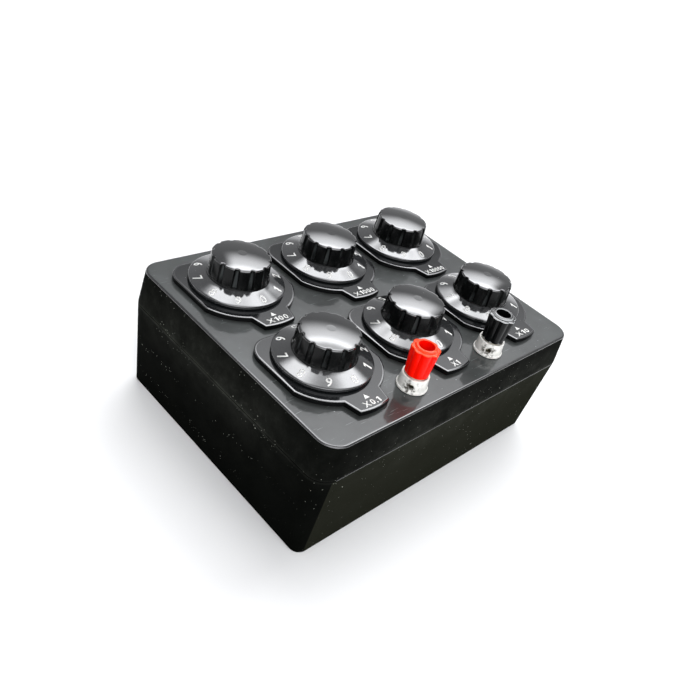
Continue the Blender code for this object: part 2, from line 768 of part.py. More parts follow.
def make_collar_mesh():
    """Clear sleeve round the stud, with a spigot that centres it in the panel."""
    foot_top = collar_base + COLLAR_FOOT_HEIGHT
    floor_top = collar_base + COLLAR_FLOOR
    collar = turned("collar shape", [
        (collar_bore, collar_top),
        (COLLAR_RADIUS, collar_top),
        (COLLAR_RADIUS, foot_top),
        (COLLAR_RADIUS + COLLAR_FOOT_WIDTH, foot_top),
        (COLLAR_RADIUS + COLLAR_FOOT_WIDTH, collar_base),
        (spigot_radius, collar_base),
        (spigot_radius, -SPIGOT_DEPTH),
        (stud_bore, -SPIGOT_DEPTH),
        (stud_bore, floor_top),
        (collar_bore, floor_top),
    ], TURNED_STEPS, closed=True)
    hole = side_hole("collar wire hole", WIRE_HOLE_RADIUS, 2 * COLLAR_RADIUS + OVERRUN)
    boolean(collar, hole, "DIFFERENCE")
    return baked(collar)


def make_clamp_mesh():
    """Brass ring under the cap that presses on the wire."""
    return baked(turned("clamp ring shape", [
        (stud_bore, clamp_top),
        (clamp_radius, clamp_top),
        (clamp_radius, clamp_top - CLAMP_RING_HEIGHT),
        (stud_bore, clamp_top - CLAMP_RING_HEIGHT),
    ], TURNED_STEPS, closed=True))


def ribbed_ring(radius, rib_depth, height):
    """Round ring whose radius swells at each rib."""
    count = CAP_RIB_COUNT * CAP_STEPS_PER_RIB
    points = []
    for i in range(count):
        angle = TURN * i / count
        reach = radius - rib_depth * (1 - math.cos(CAP_RIB_COUNT * angle)) / 2
        points.append((reach * math.cos(angle), reach * math.sin(angle), height))
    return points


def make_cap_mesh():
    """Screw cap, wider and ribbed at the top, bored right through."""
    work = skin([
        ribbed_ring(stud_bore, 0, cap_top),
        ribbed_ring(CAP_CROWN_RADIUS - CAP_EDGE, 0, cap_top),
        ribbed_ring(CAP_CROWN_RADIUS - CAP_EDGE / 2, 0, cap_rim_top),
        ribbed_ring(CAP_RIM_RADIUS - CAP_EDGE, CAP_RIB_DEPTH, cap_rim_top),
        ribbed_ring(CAP_RIM_RADIUS, CAP_RIB_DEPTH, cap_rim_top - CAP_EDGE),
        ribbed_ring(CAP_BASE_RADIUS, CAP_RIB_DEPTH / 2, cap_base + CAP_EDGE),
        ribbed_ring(CAP_BASE_RADIUS - CAP_EDGE, 0, cap_base),
        ribbed_ring(stud_bore, 0, cap_base),
    ], closed=True)
    mesh = mesh_from(work, "cap shape")
    mesh.shade_smooth()
    mesh.set_sharp_from_angle(angle=SHARP_ANGLE)
    return mesh


def make_posts():
    cap_mesh = make_cap_mesh()
    clamp_mesh = make_clamp_mesh()
    collar_mesh = make_collar_mesh()
    stud_mesh = make_stud_mesh()
    nut_top_z = -PANEL_THICKNESS - CLEAR
    nut_mesh = make_nut_mesh(
        "stud nut shape", STUD_NUT_FLATS, stud_bore, nut_top_z - STUD_NUT_HEIGHT, nut_top_z)
    for name, (x, y), plastic in zip(("red", "black"), post_places, (red_plastic, gloss_black)):
        place_at = (x, y, CASE_HEIGHT)
        place(f"post_cap_{name}", cap_mesh.copy(), plastic, place_at)
        place(f"clamp_ring_{name}", clamp_mesh, brass, place_at)
        place(f"post_collar_{name}", collar_mesh, clear_plastic, place_at)
        place(f"post_stud_{name}", stud_mesh, nickel, place_at)
        place(f"stud_nut_{name}", nut_mesh, nickel, place_at)


# Leads that join post, dials and post in series
def make_lead(name, start, end):
    """Short insulated wire that sags between two terminals."""
    curve = bpy.data.curves.new(name, "CURVE")
    curve.dimensions = "3D"
    curve.bevel_depth = LEAD_RADIUS
    curve.bevel_resolution = LEAD_BEVEL_STEPS
    curve.use_fill_caps = True
    spline = curve.splines.new("POLY")
    spline.points.add(LEAD_POINTS - 1)
    for i, point in enumerate(spline.points):
        share = i / (LEAD_POINTS - 1)
        spot = start.lerp(end, share)
        eased = (1 - math.cos(TURN / 2 * share)) / 2
        sag = LEAD_SAG * (1 - math.cos(TURN * share)) / 2
        spot.z = start.z + (end.z - start.z) * eased - sag
        point.co = (*spot, 1)
    lead = add_object(name, curve)
    curve.materials.append(lead_yellow)
    return lead


def terminal(spot, target, reach, height):
    """Point just off a terminal's end face, towards the next piece."""
    angle = heading(spot, target)
    return Vector((spot[0] + reach * math.cos(angle), spot[1] + reach * math.sin(angle), height))


def make_leads():
    route = [post_places[0], *dial_places, post_places[1]]
    reach = [STUD_RADIUS + CLEAR] + [lug_tip + CLEAR] * len(DIALS) + [STUD_RADIUS + CLEAR]
    stud_height = CASE_HEIGHT - LEAD_HEIGHT_ON_STUD
    height = [stud_height] + [CASE_HEIGHT + lug_middle] * len(DIALS) + [stud_height]
    for i in range(len(route) - 1):
        start = terminal(route[i], route[i + 1], reach[i], height[i])
        end = terminal(route[i + 1], route[i], reach[i + 1], height[i + 1])
        make_lead(f"series_lead_{i + 1}", start, end)


make_base()
make_lid()
make_screws()
make_dials()
make_posts()
make_leads()
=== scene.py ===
import json
import math
from functools import partial
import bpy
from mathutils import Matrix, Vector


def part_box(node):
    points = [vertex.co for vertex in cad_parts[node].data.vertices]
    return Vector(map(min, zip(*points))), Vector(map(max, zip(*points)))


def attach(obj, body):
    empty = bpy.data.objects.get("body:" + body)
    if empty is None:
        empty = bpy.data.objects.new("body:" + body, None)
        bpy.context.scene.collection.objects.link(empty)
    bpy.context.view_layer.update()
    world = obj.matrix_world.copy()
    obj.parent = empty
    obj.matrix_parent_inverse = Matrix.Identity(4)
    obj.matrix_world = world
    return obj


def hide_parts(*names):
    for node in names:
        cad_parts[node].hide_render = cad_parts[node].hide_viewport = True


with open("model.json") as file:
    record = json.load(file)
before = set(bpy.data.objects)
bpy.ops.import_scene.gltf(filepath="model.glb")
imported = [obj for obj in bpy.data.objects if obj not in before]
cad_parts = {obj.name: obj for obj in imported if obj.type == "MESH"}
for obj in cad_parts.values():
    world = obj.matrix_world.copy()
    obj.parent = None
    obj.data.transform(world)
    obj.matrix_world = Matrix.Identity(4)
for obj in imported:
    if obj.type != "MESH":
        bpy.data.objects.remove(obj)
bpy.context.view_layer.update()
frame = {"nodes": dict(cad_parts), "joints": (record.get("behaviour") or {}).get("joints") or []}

from types import SimpleNamespace as Sizes

import bmesh
import bpy
from mathutils import Matrix, Vector

mm = 0.001
fullTurn = 2 * math.pi
joints = {joint["name"]: joint for joint in frame["joints"]}
dialNames = ["tenths", "units", "tens", "hundreds", "thousands", "ten_thousands"]
postNames = ["red", "black"]
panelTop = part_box("case_lid")[1].z
partingHeight = 43.3 * mm  # where the tray meets the cover
dialSpots = {name: Vector(joints[f"dial_{name}_turn"]["pos_m"]) for name in dialNames}
postSpots = {name: Vector(joints[f"{name}_cap_turn"]["pos_m"]) for name in postNames}


# Working by hand: small steps shared by every piece
def clearSelection():
    if bpy.context.mode != "OBJECT":
        bpy.ops.object.mode_set(mode="OBJECT")
    bpy.ops.object.select_all(action="DESELECT")


def pick(piece):
    clearSelection()
    piece.select_set(True)
    bpy.context.view_layer.objects.active = piece


def choose(indices):
    mesh = bpy.context.object.data
    work = bmesh.from_edit_mesh(mesh)
    work.verts.ensure_lookup_table()
    for part in (*work.faces, *work.verts):
        part.select_set(False)
    for index in indices:
        work.verts[index].select_set(True)
    work.select_flush(True)
    bmesh.update_edit_mesh(mesh)


def startEditing(name):  # the primitive just added, all of it selected
    piece = bpy.context.object
    piece.name = name
    bpy.ops.object.mode_set(mode="EDIT")
    bpy.ops.mesh.select_all(action="SELECT")
    return piece


def stopEditing():  # with every face turned outwards
    bpy.ops.mesh.select_all(action="SELECT")
    bpy.ops.mesh.normals_make_consistent(inside=False)
    bpy.ops.object.mode_set(mode="OBJECT")


def discard(*pieces):
    for piece in pieces:
        bpy.data.objects.remove(piece, do_unlink=True)


def applyAll(piece):
    pick(piece)
    for modifier in list(piece.modifiers):
        bpy.ops.object.modifier_apply(modifier=modifier.name)


def cut(piece, tool, operation="DIFFERENCE"):
    step = piece.modifiers.new("cut", "BOOLEAN")
    step.operation = operation
    step.solver = "EXACT"
    step.object = tool
    applyAll(piece)
    discard(tool)


def smooth(piece):
    pick(piece)
    bpy.ops.object.shade_smooth_by_angle(angle=math.radians(35))
    return piece


def moved(piece, spot, turn=0.0):
    piece.data.transform(Matrix.Translation(spot) @ Matrix.Rotation(turn, 4, "Z"))
    return piece


def copied(piece, name, spot, turn=0.0):
    pick(piece)
    bpy.ops.object.duplicate()
    copy = bpy.context.object
    copy.name = name
    copy.data.name = name
    return moved(copy, spot, turn)


def joined(pieces, name):
    pick(pieces[0])
    for piece in pieces:
        piece.select_set(True)
    bpy.ops.object.join()
    made = bpy.context.object
    made.name = name
    made.data.name = name
    return made


def pointMask(piece, name, valueAt):
    mask = piece.data.attributes.new(name, "FLOAT", "POINT")
    for vert, point in zip(piece.data.vertices, mask.data):
        point.value = valueAt(vert.co)


def dressed(piece, body, slot, materials, *nodes):
    piece.data.materials.clear()
    for material in materials:
        piece.data.materials.append(material)
    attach(piece, body)
    if nodes:
        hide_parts(*nodes)
    return piece


# Turned and ribbed shapes: a circle, extruded and resized ring by ring
def shapeRing(radius, height):
    work = bmesh.from_edit_mesh(bpy.context.object.data)
    groups = {}
    for vert in work.verts:
        if vert.select:
            angle = math.atan2(vert.co.y, vert.co.x)
            wanted = radius(angle) if callable(radius) else radius
            level = height(wanted) if callable(height) else height
            now = math.hypot(vert.co.x, vert.co.y)
            key = round(wanted / now, 6), round(level - vert.co.z, 8)
            groups.setdefault(key, []).append(vert.index)
    ring = [index for group in groups.values() for index in group]
    for (share, rise), group in groups.items():
        choose(group)
        bpy.ops.transform.resize(value=(share, share, 1), center_override=(0, 0, 0))
        bpy.ops.transform.translate(value=(0, 0, rise))
    choose(ring)


def ringPiece(name, count, rings, hollow=False):
    clearSelection()
    bpy.ops.mesh.primitive_circle_add(vertices=count, radius=10 * mm, fill_type="NOTHING")
    piece = startEditing(name)
    shapeRing(*rings[0])
    if not hollow:
        bpy.ops.mesh.edge_face_add()
    for radius, height in rings[1:] + rings[:1] * hollow:  # a hollow one closes on its first ring
        bpy.ops.mesh.extrude_region_move()
        if radius == 0:
            shapeRing(0.1 * mm, height)
            bpy.ops.mesh.merge(type="CENTER")
        else:
            shapeRing(radius, height)
    bpy.ops.mesh.select_all(action="SELECT")
    bpy.ops.mesh.remove_doubles(threshold=0.001 * mm)
    stopEditing()
    return piece


def arc(x, y, radius, start, end, steps):
    for i in range(steps + 1):
        angle = math.radians(start + (end - start) * i / steps)
        yield x + radius * math.cos(angle), y + radius * math.sin(angle)


# Boxes with round corners: a plane whose corners are bevelled, extruded loop by loop
def nextLoop(old, new):
    bpy.ops.mesh.extrude_region_move(TRANSFORM_OT_translate={"value": (0, 0, new[3] - old[3])})
    work = bmesh.from_edit_mesh(bpy.context.object.data)
    loop = [(vert.index, vert.co.x, vert.co.y) for vert in work.verts if vert.select]
    for sideX in (-1, 1):
        for sideY in (-1, 1):
            choose([index for index, x, y in loop if x * sideX > 0 and y * sideY > 0])
            before = Vector((sideX * (old[0] / 2 - old[2]), sideY * (old[1] / 2 - old[2]), new[3]))
            after = Vector((sideX * (new[0] / 2 - new[2]), sideY * (new[1] / 2 - new[2]), new[3]))
            share = new[2] / old[2]
            bpy.ops.transform.resize(value=(share, share, 1), center_override=before)
            bpy.ops.transform.translate(value=after - before)
    choose([index for index, x, y in loop])


def inset(section, amount, height):
    width, depth, corner = section
    return width - 2 * amount, depth - 2 * amount, corner - amount, height


def roundedEdge(sectionAt, level, radius, top, width=None, hold=0.3 * mm, steps=6):
    side = -1 if top else 1
    width = width or radius
    rows = [(0, level + side * (radius + hold))]
    for i in range(steps + 1):
        angle = math.pi / 2 * i / steps
        rows.append((width * (1 - math.cos(angle)), level + side * radius * (1 - math.sin(angle))))
    rows.append((width + hold, level))
    for amount, height in rows if top else reversed(rows):
        yield inset(sectionAt(height), amount, height)


def loopPiece(name, sections, segments):
    width, depth, corner, height = sections[0]
    clearSelection()
    bpy.ops.mesh.primitive_plane_add(size=1)
    piece = startEditing(name)
    bpy.ops.transform.resize(value=(width, depth, 1), center_override=(0, 0, 0))
    bpy.ops.transform.translate(value=(0, 0, height))
    bpy.ops.mesh.bevel(offset=corner, segments=segments, affect="VERTICES")
    bpy.ops.mesh.select_all(action="SELECT")
    for old, new in zip(sections, sections[1:]):
        nextLoop(old, new)
    stopEditing()
    return piece


# Flat pieces: a ring of points moved to an outline, filled and extruded
def flatOutline(name, points, low):
    clearSelection()
    bpy.ops.mesh.primitive_circle_add(vertices=len(points), radius=10 * mm, fill_type="NGON")
    piece = startEditing(name)
    for i, point in enumerate(points):
        choose([i])
        here = bmesh.from_edit_mesh(piece.data).verts[i].co.copy()
        bpy.ops.transform.translate(value=Vector((*point, low)) - here)
    bpy.ops.mesh.select_all(action="SELECT")
    return piece


def outlinePiece(name, points, low, high):
    piece = flatOutline(name, points, low)
    bpy.ops.mesh.extrude_region_move(TRANSFORM_OT_translate={"value": (0, 0, high - low)})
    return piece


# Round cutters and bosses
def rod(radius, depth, middle, turn=(0, 0, 0), steps=64):
    clearSelection()
    bpy.ops.mesh.primitive_cylinder_add(
        vertices=steps, radius=radius, depth=depth, location=middle, rotation=turn)
    bpy.ops.object.transform_apply()
    return bpy.context.object


def drum(radius, low, high, spot):
    return rod(radius, high - low, (*spot[:2], (low + high) / 2))


# Materials
def linearColour(hexColour):
    channels = [int(hexColour[i:i + 2], 16) / 255 for i in (1, 3, 5)]
    return (*[c / 12.92 if c <= 0.04045 else ((c + 0.055) / 1.055) ** 2.4 for c in channels], 1)


def addNode(tree, kind, inputs=None, output=0, stops=(), **settings):
    node = tree.nodes.new("ShaderNode" + kind)
    for name, value in settings.items():
        setattr(node, name, value)
    for socket, value in (inputs or {}).items():
        if isinstance(value, bpy.types.NodeSocket):
            tree.links.new(value, node.inputs[socket])
        else:
            node.inputs[socket].default_value = value
    for i, (position, level) in enumerate(stops):  # the greys of a colour ramp
        elements = node.color_ramp.elements
        if i == 0:
            elements.remove(elements[1])
        element = elements[0] if i == 0 else elements.new(position)
        element.position = position
        element.color = (level, level, level, 1)
    return node.outputs[output]


def newMaterial(name, **values):
    material = bpy.data.materials.new(name)
    material.use_nodes = True
    tree = material.node_tree
    for socket, value in values.items():
        tree.nodes["Principled BSDF"].inputs[socket.replace("_", " ")].default_value = value
    add = partial(addNode, tree)
    return material, add, add("TexCoord", output="Object")


def painted(material, mask, tones, roughness=None, relief=None):  # two tones, mixed by a mask
    tree = material.node_tree
    add = partial(addNode, tree)
    clean, other = map(linearColour, tones)
    sources = {"Base Color": add("Mix", {0: mask, 6: clean, 7: other}, 2, data_type="RGBA")}
    if roughness is not None:
        sources["Roughness"] = roughness
    if relief is not None:
        height, strength, depth = relief
        sources["Normal"] = add("Bump", {"Height": height, "Strength": strength, "Distance": depth})
    for socket, source in sources.items():
        tree.links.new(source, tree.nodes["Principled BSDF"].inputs[socket])
    return material


def perMetre(size):
    return 1 / size  # a texture's scale that makes one cell this size


def waveScale(spacing):
    return fullTurn / 20 / spacing  # a wave texture at scale 1 repeats every fullTurn / 20 metres


def specks(add, place, cell, size, share):  # mask of small dots, one in a share of the cells
    away = add("TexVoronoi", {"Vector": place, "Scale": perMetre(cell)})
    chance = add("SeparateColor", {"Color": away.node.outputs["Color"]})
    few = add("Math", {0: chance, 1: 1 - share}, operation="GREATER_THAN")
    dot = add("ValToRGB", {"Fac": away}, stops=[(0, 1), (size / cell, 1), (1.6 * size / cell, 0)])
    return add("Math", {0: few, 1: dot}, operation="MULTIPLY")


# Black ABS, injection moulded in a polished mould: deep black, mirror-like but a little soft
def makePanelPlastic():
    material, add, place = newMaterial(
        "polished black ABS", IOR=1.5, Specular_IOR_Level=0.15,
        Coat_Weight=0.6, Coat_IOR=1.5, Coat_Roughness=0.07)
    smudge = add("TexNoise", {"Vector": place, "Scale": perMetre(24 * mm), "Detail": 3})
    touch = add("TexNoise", {"Vector": place, "Scale": perMetre(5 * mm), "Detail": 6, "Roughness": 0.7})
    turned = add("Mapping", {"Vector": place, "Rotation": (0, 0, 0.6), "Scale": (1, 26, 1)})
    lines = add("TexNoise", {"Vector": turned, "Scale": perMetre(9 * mm), "Detail": 2})
    film = add("ValToRGB", {"Fac": smudge}, stops=[(0.35, 0.0), (0.7, 0.4)])
    handled = add("ValToRGB", {"Fac": smudge}, stops=[(0.46, 0), (0.6, 1)])
    prints = add("ValToRGB", {"Fac": touch}, stops=[(0.5, 0), (0.66, 0.2)])
    scratches = add("ValToRGB", {"Fac": lines}, stops=[(0.0, 0), (0.69, 0), (0.72, 1)])
    for operation, other in (
            ("MAXIMUM", scratches),
            ("MULTIPLY", 0.35),
            ("MAXIMUM", specks(add, place, 2.6 * mm, 0.16 * mm, 0.16)),
            ("MAXIMUM", add("Math", {0: prints, 1: handled}, operation="MULTIPLY"))):
        film = add("Math", {0: film, 1: other}, operation=operation)
    dull = add("ValToRGB", {"Fac": smudge}, stops=[(0.3, 0.3), (0.7, 0.4)])
    waves = add("TexNoise", {"Vector": place, "Scale": perMetre(14 * mm), "Detail": 1})
    return painted(material, film, ("#323433", "#949a9a"), dull, (waves, 0.7, 0.25 * mm))


thinFilmCorner = (-81 * mm, -62 * mm, 38 * mm)


# The same ABS from the sparked walls of the mould: satin, so it stays near black, and it holds dust
def makeSidePlastic(name, tone, sheen):
    material, add, place = newMaterial(name, IOR=1.5, Specular_IOR_Level=sheen)
    height = add("SeparateXYZ", {"Vector": place}, "Z")
    above = add("Math", {0: height, 1: partingHeight}, operation="SUBTRACT")
    beside = add("Math", {0: above}, operation="ABSOLUTE")
    corner = add("VectorMath", {0: place, 1: thinFilmCorner}, "Value", operation="DISTANCE")
    bands = []
    for source, reach, stops in (
            (corner, 90 * mm, [(0.1, 0.25), (0.45, 1)]),  # less film towards the front-left top corner
            (beside, 16 * mm, [(0.0, 0.09), (0.04, 0.07), (0.09, 0.02), (1.0, 0)]),  # dust at the parting line
            (above, 16 * mm, [(0.0, 0), (0.02, 0.05), (0.3, 0.035), (0.95, 0)]),  # and over it, on the cover
            (height, 60 * mm, [(0.1, 0.004), (1.0, 0.018)])):  # a thin film that thickens upwards
        share = add("Math", {0: source, 1: perMetre(reach)}, operation="MULTIPLY")
        bands.append(add("ValToRGB", {"Fac": share}, stops=stops))
    cornerThinning, seam, film, veil = bands
    cloud = add("TexNoise", {"Vector": place, "Scale": perMetre(11 * mm), "Detail": 7, "Roughness": 0.65})
    powder = add("TexNoise", {"Vector": place, "Scale": perMetre(4 * mm), "Detail": 5, "Roughness": 0.7})
    drift = add("TexNoise", {"Vector": place, "Scale": perMetre(28 * mm), "Detail": 2})
    for operation, other in (
            ("MULTIPLY", add("ValToRGB", {"Fac": powder}, stops=[(0.5, 0.1), (0.7, 1)])),
            ("ADD", seam),
            ("ADD", veil),
            ("MULTIPLY", cornerThinning),
            ("MULTIPLY", add("ValToRGB", {"Fac": cloud}, stops=[(0.35, 0.35), (0.68, 1)]))):
        film = add("Math", {0: film, 1: other}, operation=operation)
    dust = specks(add, place, 3.4 * mm, 0.18 * mm, 0.1)
    for operation, other in (
            ("MAXIMUM", specks(add, place, 1.2 * mm, 0.1 * mm, 0.2)),
            ("MULTIPLY", add("ValToRGB", {"Fac": drift}, stops=[(0.42, 0.1), (0.58, 1)])),  # grit in drifts
            ("MAXIMUM", film)):
        dust = add("Math", {0: dust, 1: other}, operation=operation)
    dull = add("ValToRGB", {"Fac": cloud}, stops=[(0.3, 0.3), (0.7, 0.42)])
    grain = add("TexNoise", {"Vector": place, "Scale": perMetre(0.8 * mm), "Detail": 3})
    return painted(material, dust, (tone, "#a3a69b"), dull, (grain, 0.3, 0.02 * mm))


# Black phenolic and ABS, pressed and buffed: harder gloss than the case, with fine buffing haze
def makeBuffedPlastic(name, tone, low, high, wave=0.03 * mm, **values):
    material, add, place = newMaterial(name, **values)
    haze = add("TexNoise", {"Vector": place, "Scale": perMetre(6 * mm), "Detail": 4})
    grit = specks(add, place, 2.1 * mm, 0.1 * mm, 0.1)
    dull = add("ValToRGB", {"Fac": haze}, stops=[(0.3, low), (0.7, high)])
    return painted(material, grit, (tone, "#9a9c9c"), dull, (haze, 0.12, wave))


# The grip's flutes come from the mould unbuffed: satin, with a pale streak painted down some flutes as painted
# highlight
def makeGripPlastic():
    material, add, place = newMaterial("moulded black phenolic", IOR=1.5, Specular_IOR_Level=0.18)
    haze = add("TexNoise", {"Vector": place, "Scale": perMetre(3 * mm), "Detail": 4})
    patch = add("TexNoise", {"Vector": place, "Scale": perMetre(11 * mm), "Detail": 1})
    depth = add("Attribute", output="Fac", attribute_name="hollow")
    deep = add("ValToRGB", {"Fac": depth}, stops=[(0.62, 0), (0.85, 1)])
    streakPatches = add("ValToRGB", {"Fac": patch}, stops=[(0.42, 0.0), (0.6, 1)])
    # pale streaks in the flutes' hollows: painted highlight
    paintedStreak = add("Math", {0: deep, 1: streakPatches}, operation="MULTIPLY")
    dull = add("ValToRGB", {"Fac": haze}, stops=[(0.3, 0.14), (0.7, 0.2)])
    return painted(material, paintedStreak, ("#090a0a", "#343737"), dull, (haze, 0.2, 0.03 * mm))


# Silk-screen ink, white and matt, worn a little thin in places
def makeInk():
    material, add, place = newMaterial("white screen ink", IOR=1.45, Roughness=0.5)
    wear = add("TexNoise", {"Vector": place, "Scale": perMetre(0.7 * mm), "Detail": 3})
    thin = add("ValToRGB", {"Fac": wear}, stops=[(0.55, 0), (0.8, 0.35)])
    return painted(material, thin, ("#f2f2ee", "#8a8c8c"))


# Coloured ABS, injection moulded: glossy and slightly wavy, and the red is fully saturated
def makeCapPlastic(name, tones, roughness, **values):
    material, add, place = newMaterial(name, IOR=1.54, Roughness=roughness, **values)
    flow = add("TexNoise", {"Vector": place, "Scale": perMetre(3 * mm), "Detail": 3})
    streaks = add("ValToRGB", {"Fac": flow}, stops=[(0.35, 0), (0.8, 0.6)])
    return painted(material, streaks, tones, relief=(flow, 0.2, 0.04 * mm))


# Clear polycarbonate, moulded: bright rims, milky inside; the stud seen through it is painted on as dark swirls
def makeClearPlastic():
    material, add, place = newMaterial("clear polycarbonate", IOR=1.5, Roughness=0.04, Transmission_Weight=0.18)
    seen = add("Attribute", output="Fac", attribute_name="seen")
    faint = add("Math", {0: seen, 1: 0.16}, operation="MAXIMUM")
    swirl = add("TexNoise", {"Vector": place, "Scale": perMetre(1.7 * mm), "Detail": 3})
    dark = add("ValToRGB", {"Fac": swirl}, stops=[(0.44, 0), (0.58, 0.95)])
    shown = add("Math", {0: faint, 1: dark}, operation="MULTIPLY")
    flow = add("TexNoise", {"Vector": place, "Scale": perMetre(2 * mm), "Detail": 2})
    return painted(material, shown, ("#fffef8", "#55524a"), relief=(flow, 0.35, 0.05 * mm))


# Turned metals: rings from the lathe, drawn 1.3 mm apart so that they show
def makeTurnedMetal(name, tones, low, high):
    material, add, place = newMaterial(name, Metallic=1)
    age = add("TexNoise", {"Vector": place, "Scale": perMetre(4 * mm), "Detail": 4})
    stained = add("ValToRGB", {"Fac": age}, stops=[(0.4, 0), (0.75, 0.7)])
    dull = add("ValToRGB", {"Fac": age}, stops=[(0.3, low), (0.7, high)])
    lathe = {"Vector": place, "Scale": waveScale(1.2566 * mm), "Distortion": 1}
    rings = add("TexWave", lathe, "Fac", bands_direction="Z")
    return painted(material, stained, tones, dull, (rings, 0.2, 0.01 * mm))


lacquer = {"Coat_Weight": 1, "Coat_IOR": 1.6}
redGlow = {"Subsurface_Weight": 0.35, "Subsurface_Scale": 1.5 * mm, "Subsurface_Radius": (1, 0.12, 0.04)}
panelPlastic = makePanelPlastic()
sidePlastic = makeSidePlastic("satin black ABS", "#060706", 0.0005)
frontPlasticPaintedLight = makeSidePlastic("satin black ABS, front", "#1d1e18", 0.0)  # the tray's front, painted a little lighter than the other walls: painted light
dialPlastic = makeBuffedPlastic(
    "buffed black phenolic", "#0f1011", 0.06, 0.1, IOR=1.75, Coat_Roughness=0.05, **lacquer)
skirtPlastic = makeBuffedPlastic(  # the skirt's face is less flat, so its reflections are ragged; its tone is lighter than the dome's, painted light that fills the skirt's shade
    "pressed black phenolic", "#2c2d2e", 0.07, 0.12, 0.35 * mm, IOR=1.75, Coat_Roughness=0.06, **lacquer)
gripPlastic = makeGripPlastic()
platePlastic = makeBuffedPlastic("gloss black ABS plate", "#141617", 0.08, 0.13, IOR=1.5)
edgePlastic = makeBuffedPlastic(  # edges polished by handling
    "black ABS edge", "#1a1b1c", 0.1, 0.16, IOR=1.7, Coat_Roughness=0.06, **lacquer)
# pale grey for the black cap's rounded edges: painted highlight
capEdgePaintedHighlight = makeBuffedPlastic("black ABS edge, painted highlight", "#b4b7b7", 0.16, 0.24, IOR=1.6)
ink = makeInk()
capPlastic = {
    # the red top is a lighter orange than the ribs: painted highlight
    "red": makeCapPlastic("red ABS", ("#ff4a14", "#fb3808"), 0.16, Specular_IOR_Level=0.3, **redGlow),
    "black": makeCapPlastic("black ABS cap", ("#0a0b0b", "#101111"), 0.1, **lacquer),
}
capWalls = {  # the ribs are handled until they are satin
    "red": makeCapPlastic("handled red ABS", ("#fa0f00", "#f00900"), 0.3, Specular_IOR_Level=0.08, **redGlow),
    "black": makeCapPlastic("handled black ABS", ("#080909", "#0c0d0d"), 0.16, Specular_IOR_Level=0.15),
}
clearPlastic = makeClearPlastic()
nickel = makeTurnedMetal("nickel plated brass", ("#d3cec1", "#8f8674"), 0.22, 0.4)
brass = makeTurnedMetal("turned brass", ("#bd9a5c", "#806540"), 0.25, 0.4)
zinc = makeTurnedMetal("zinc plated steel", ("#b9bcbb", "#85827a"), 0.3, 0.5)
print("materials made")


# Case: a tray and a cover that meet at a thin parting line
caseShape = dict(
    bottom=(157.3 * mm, 119.6 * mm, 4.5 * mm),
    parting=(163.8 * mm, 124.7 * mm, 8.3 * mm),
    top=(160.6 * mm, 123.2 * mm, 8.6 * mm),
    partingGap=0.4 * mm,
    wall=2.5 * mm,
    lip=1.1 * mm,
    lipGap=0.3 * mm,
    tongue=1.5 * mm,
    floor=2.5 * mm,
    panel=3.0 * mm,
    topEdge=0.6 * mm,
    topEdgeWidth=1.1 * mm,
    bottomEdge=0.8 * mm,
    rimEdge=0.35 * mm,
    cornerSteps=14,
    dialHole=5.0 * mm,
    postHole=4.5 * mm,
    shineFront=-60 * mm,
    shineLeft=-73 * mm,
    # the tray's front beyond this gets painted light
    fadedFront=-55 * mm,
)
columnShape = dict(
    x=69.55 * mm,
    y=50.7 * mm,
    radius=5.1 * mm,
    top=9.0 * mm,
    recess=3.3 * mm,
    seat=3.5 * mm,
    hole=1.75 * mm,
    pillar=4.0 * mm,
    pillarBase=9.3 * mm,
    pilotTop=21.0 * mm,
)
column = Sizes(**columnShape)
rimHeight = partingHeight - caseShape["partingGap"] / 2
coverBase = partingHeight + caseShape["partingGap"] / 2
columnSpots = [(x * column.x, y * column.y) for y in (-1, 1) for x in (-1, 1)]


def mixed(low, high, share):
    return tuple(a + (b - a) * share for a, b in zip(low, high))


def traySection(height):
    return mixed(caseShape["bottom"], caseShape["parting"], height / partingHeight)


def coverSection(height):
    return mixed(caseShape["parting"], caseShape["top"], (height - partingHeight) / (panelTop - partingHeight))


def makeTray():
    shape = Sizes(**caseShape)
    rim = traySection(rimHeight)
    tongueTop = rimHeight + shape.tongue
    sections = [
        *roundedEdge(traySection, 0, shape.bottomEdge, top=False),
        *roundedEdge(traySection, rimHeight, shape.rimEdge, top=True),
        inset(rim, shape.lip + shape.lipGap, rimHeight),
        inset(rim, shape.lip + shape.lipGap, tongueTop),
        inset(rim, shape.wall, tongueTop),
        inset(traySection(shape.floor), shape.wall, shape.floor),
    ]
    tray = loopPiece("tray", sections, shape.cornerSteps)
    for spot in columnSpots:
        cut(tray, drum(column.radius, shape.floor / 2, column.top, spot), "UNION")
    for spot in columnSpots:
        cut(tray, drum(column.recess, -1 * mm, column.seat, spot))
        cut(tray, drum(column.hole, column.seat - 1 * mm, column.top + 1 * mm, spot))
    smooth(tray)
    dressed(tray, "case", "case_plastic", (sidePlastic, edgePlastic, frontPlasticPaintedLight), "case_base")
    for face in tray.data.polygons:  # only the front rim is handled until it shines
        x, y, z = face.center
        atRim = rimHeight - 1 * mm < z < rimHeight + 0.1 * mm and face.normal.z > 0.1
        if atRim and y < shape.shineFront and x > shape.shineLeft:
            face.material_index = 1
        # the tray's front faces get the lighter tone: painted light
        elif face.normal.y < -0.98 and y < shape.fadedFront:
            face.material_index = 2


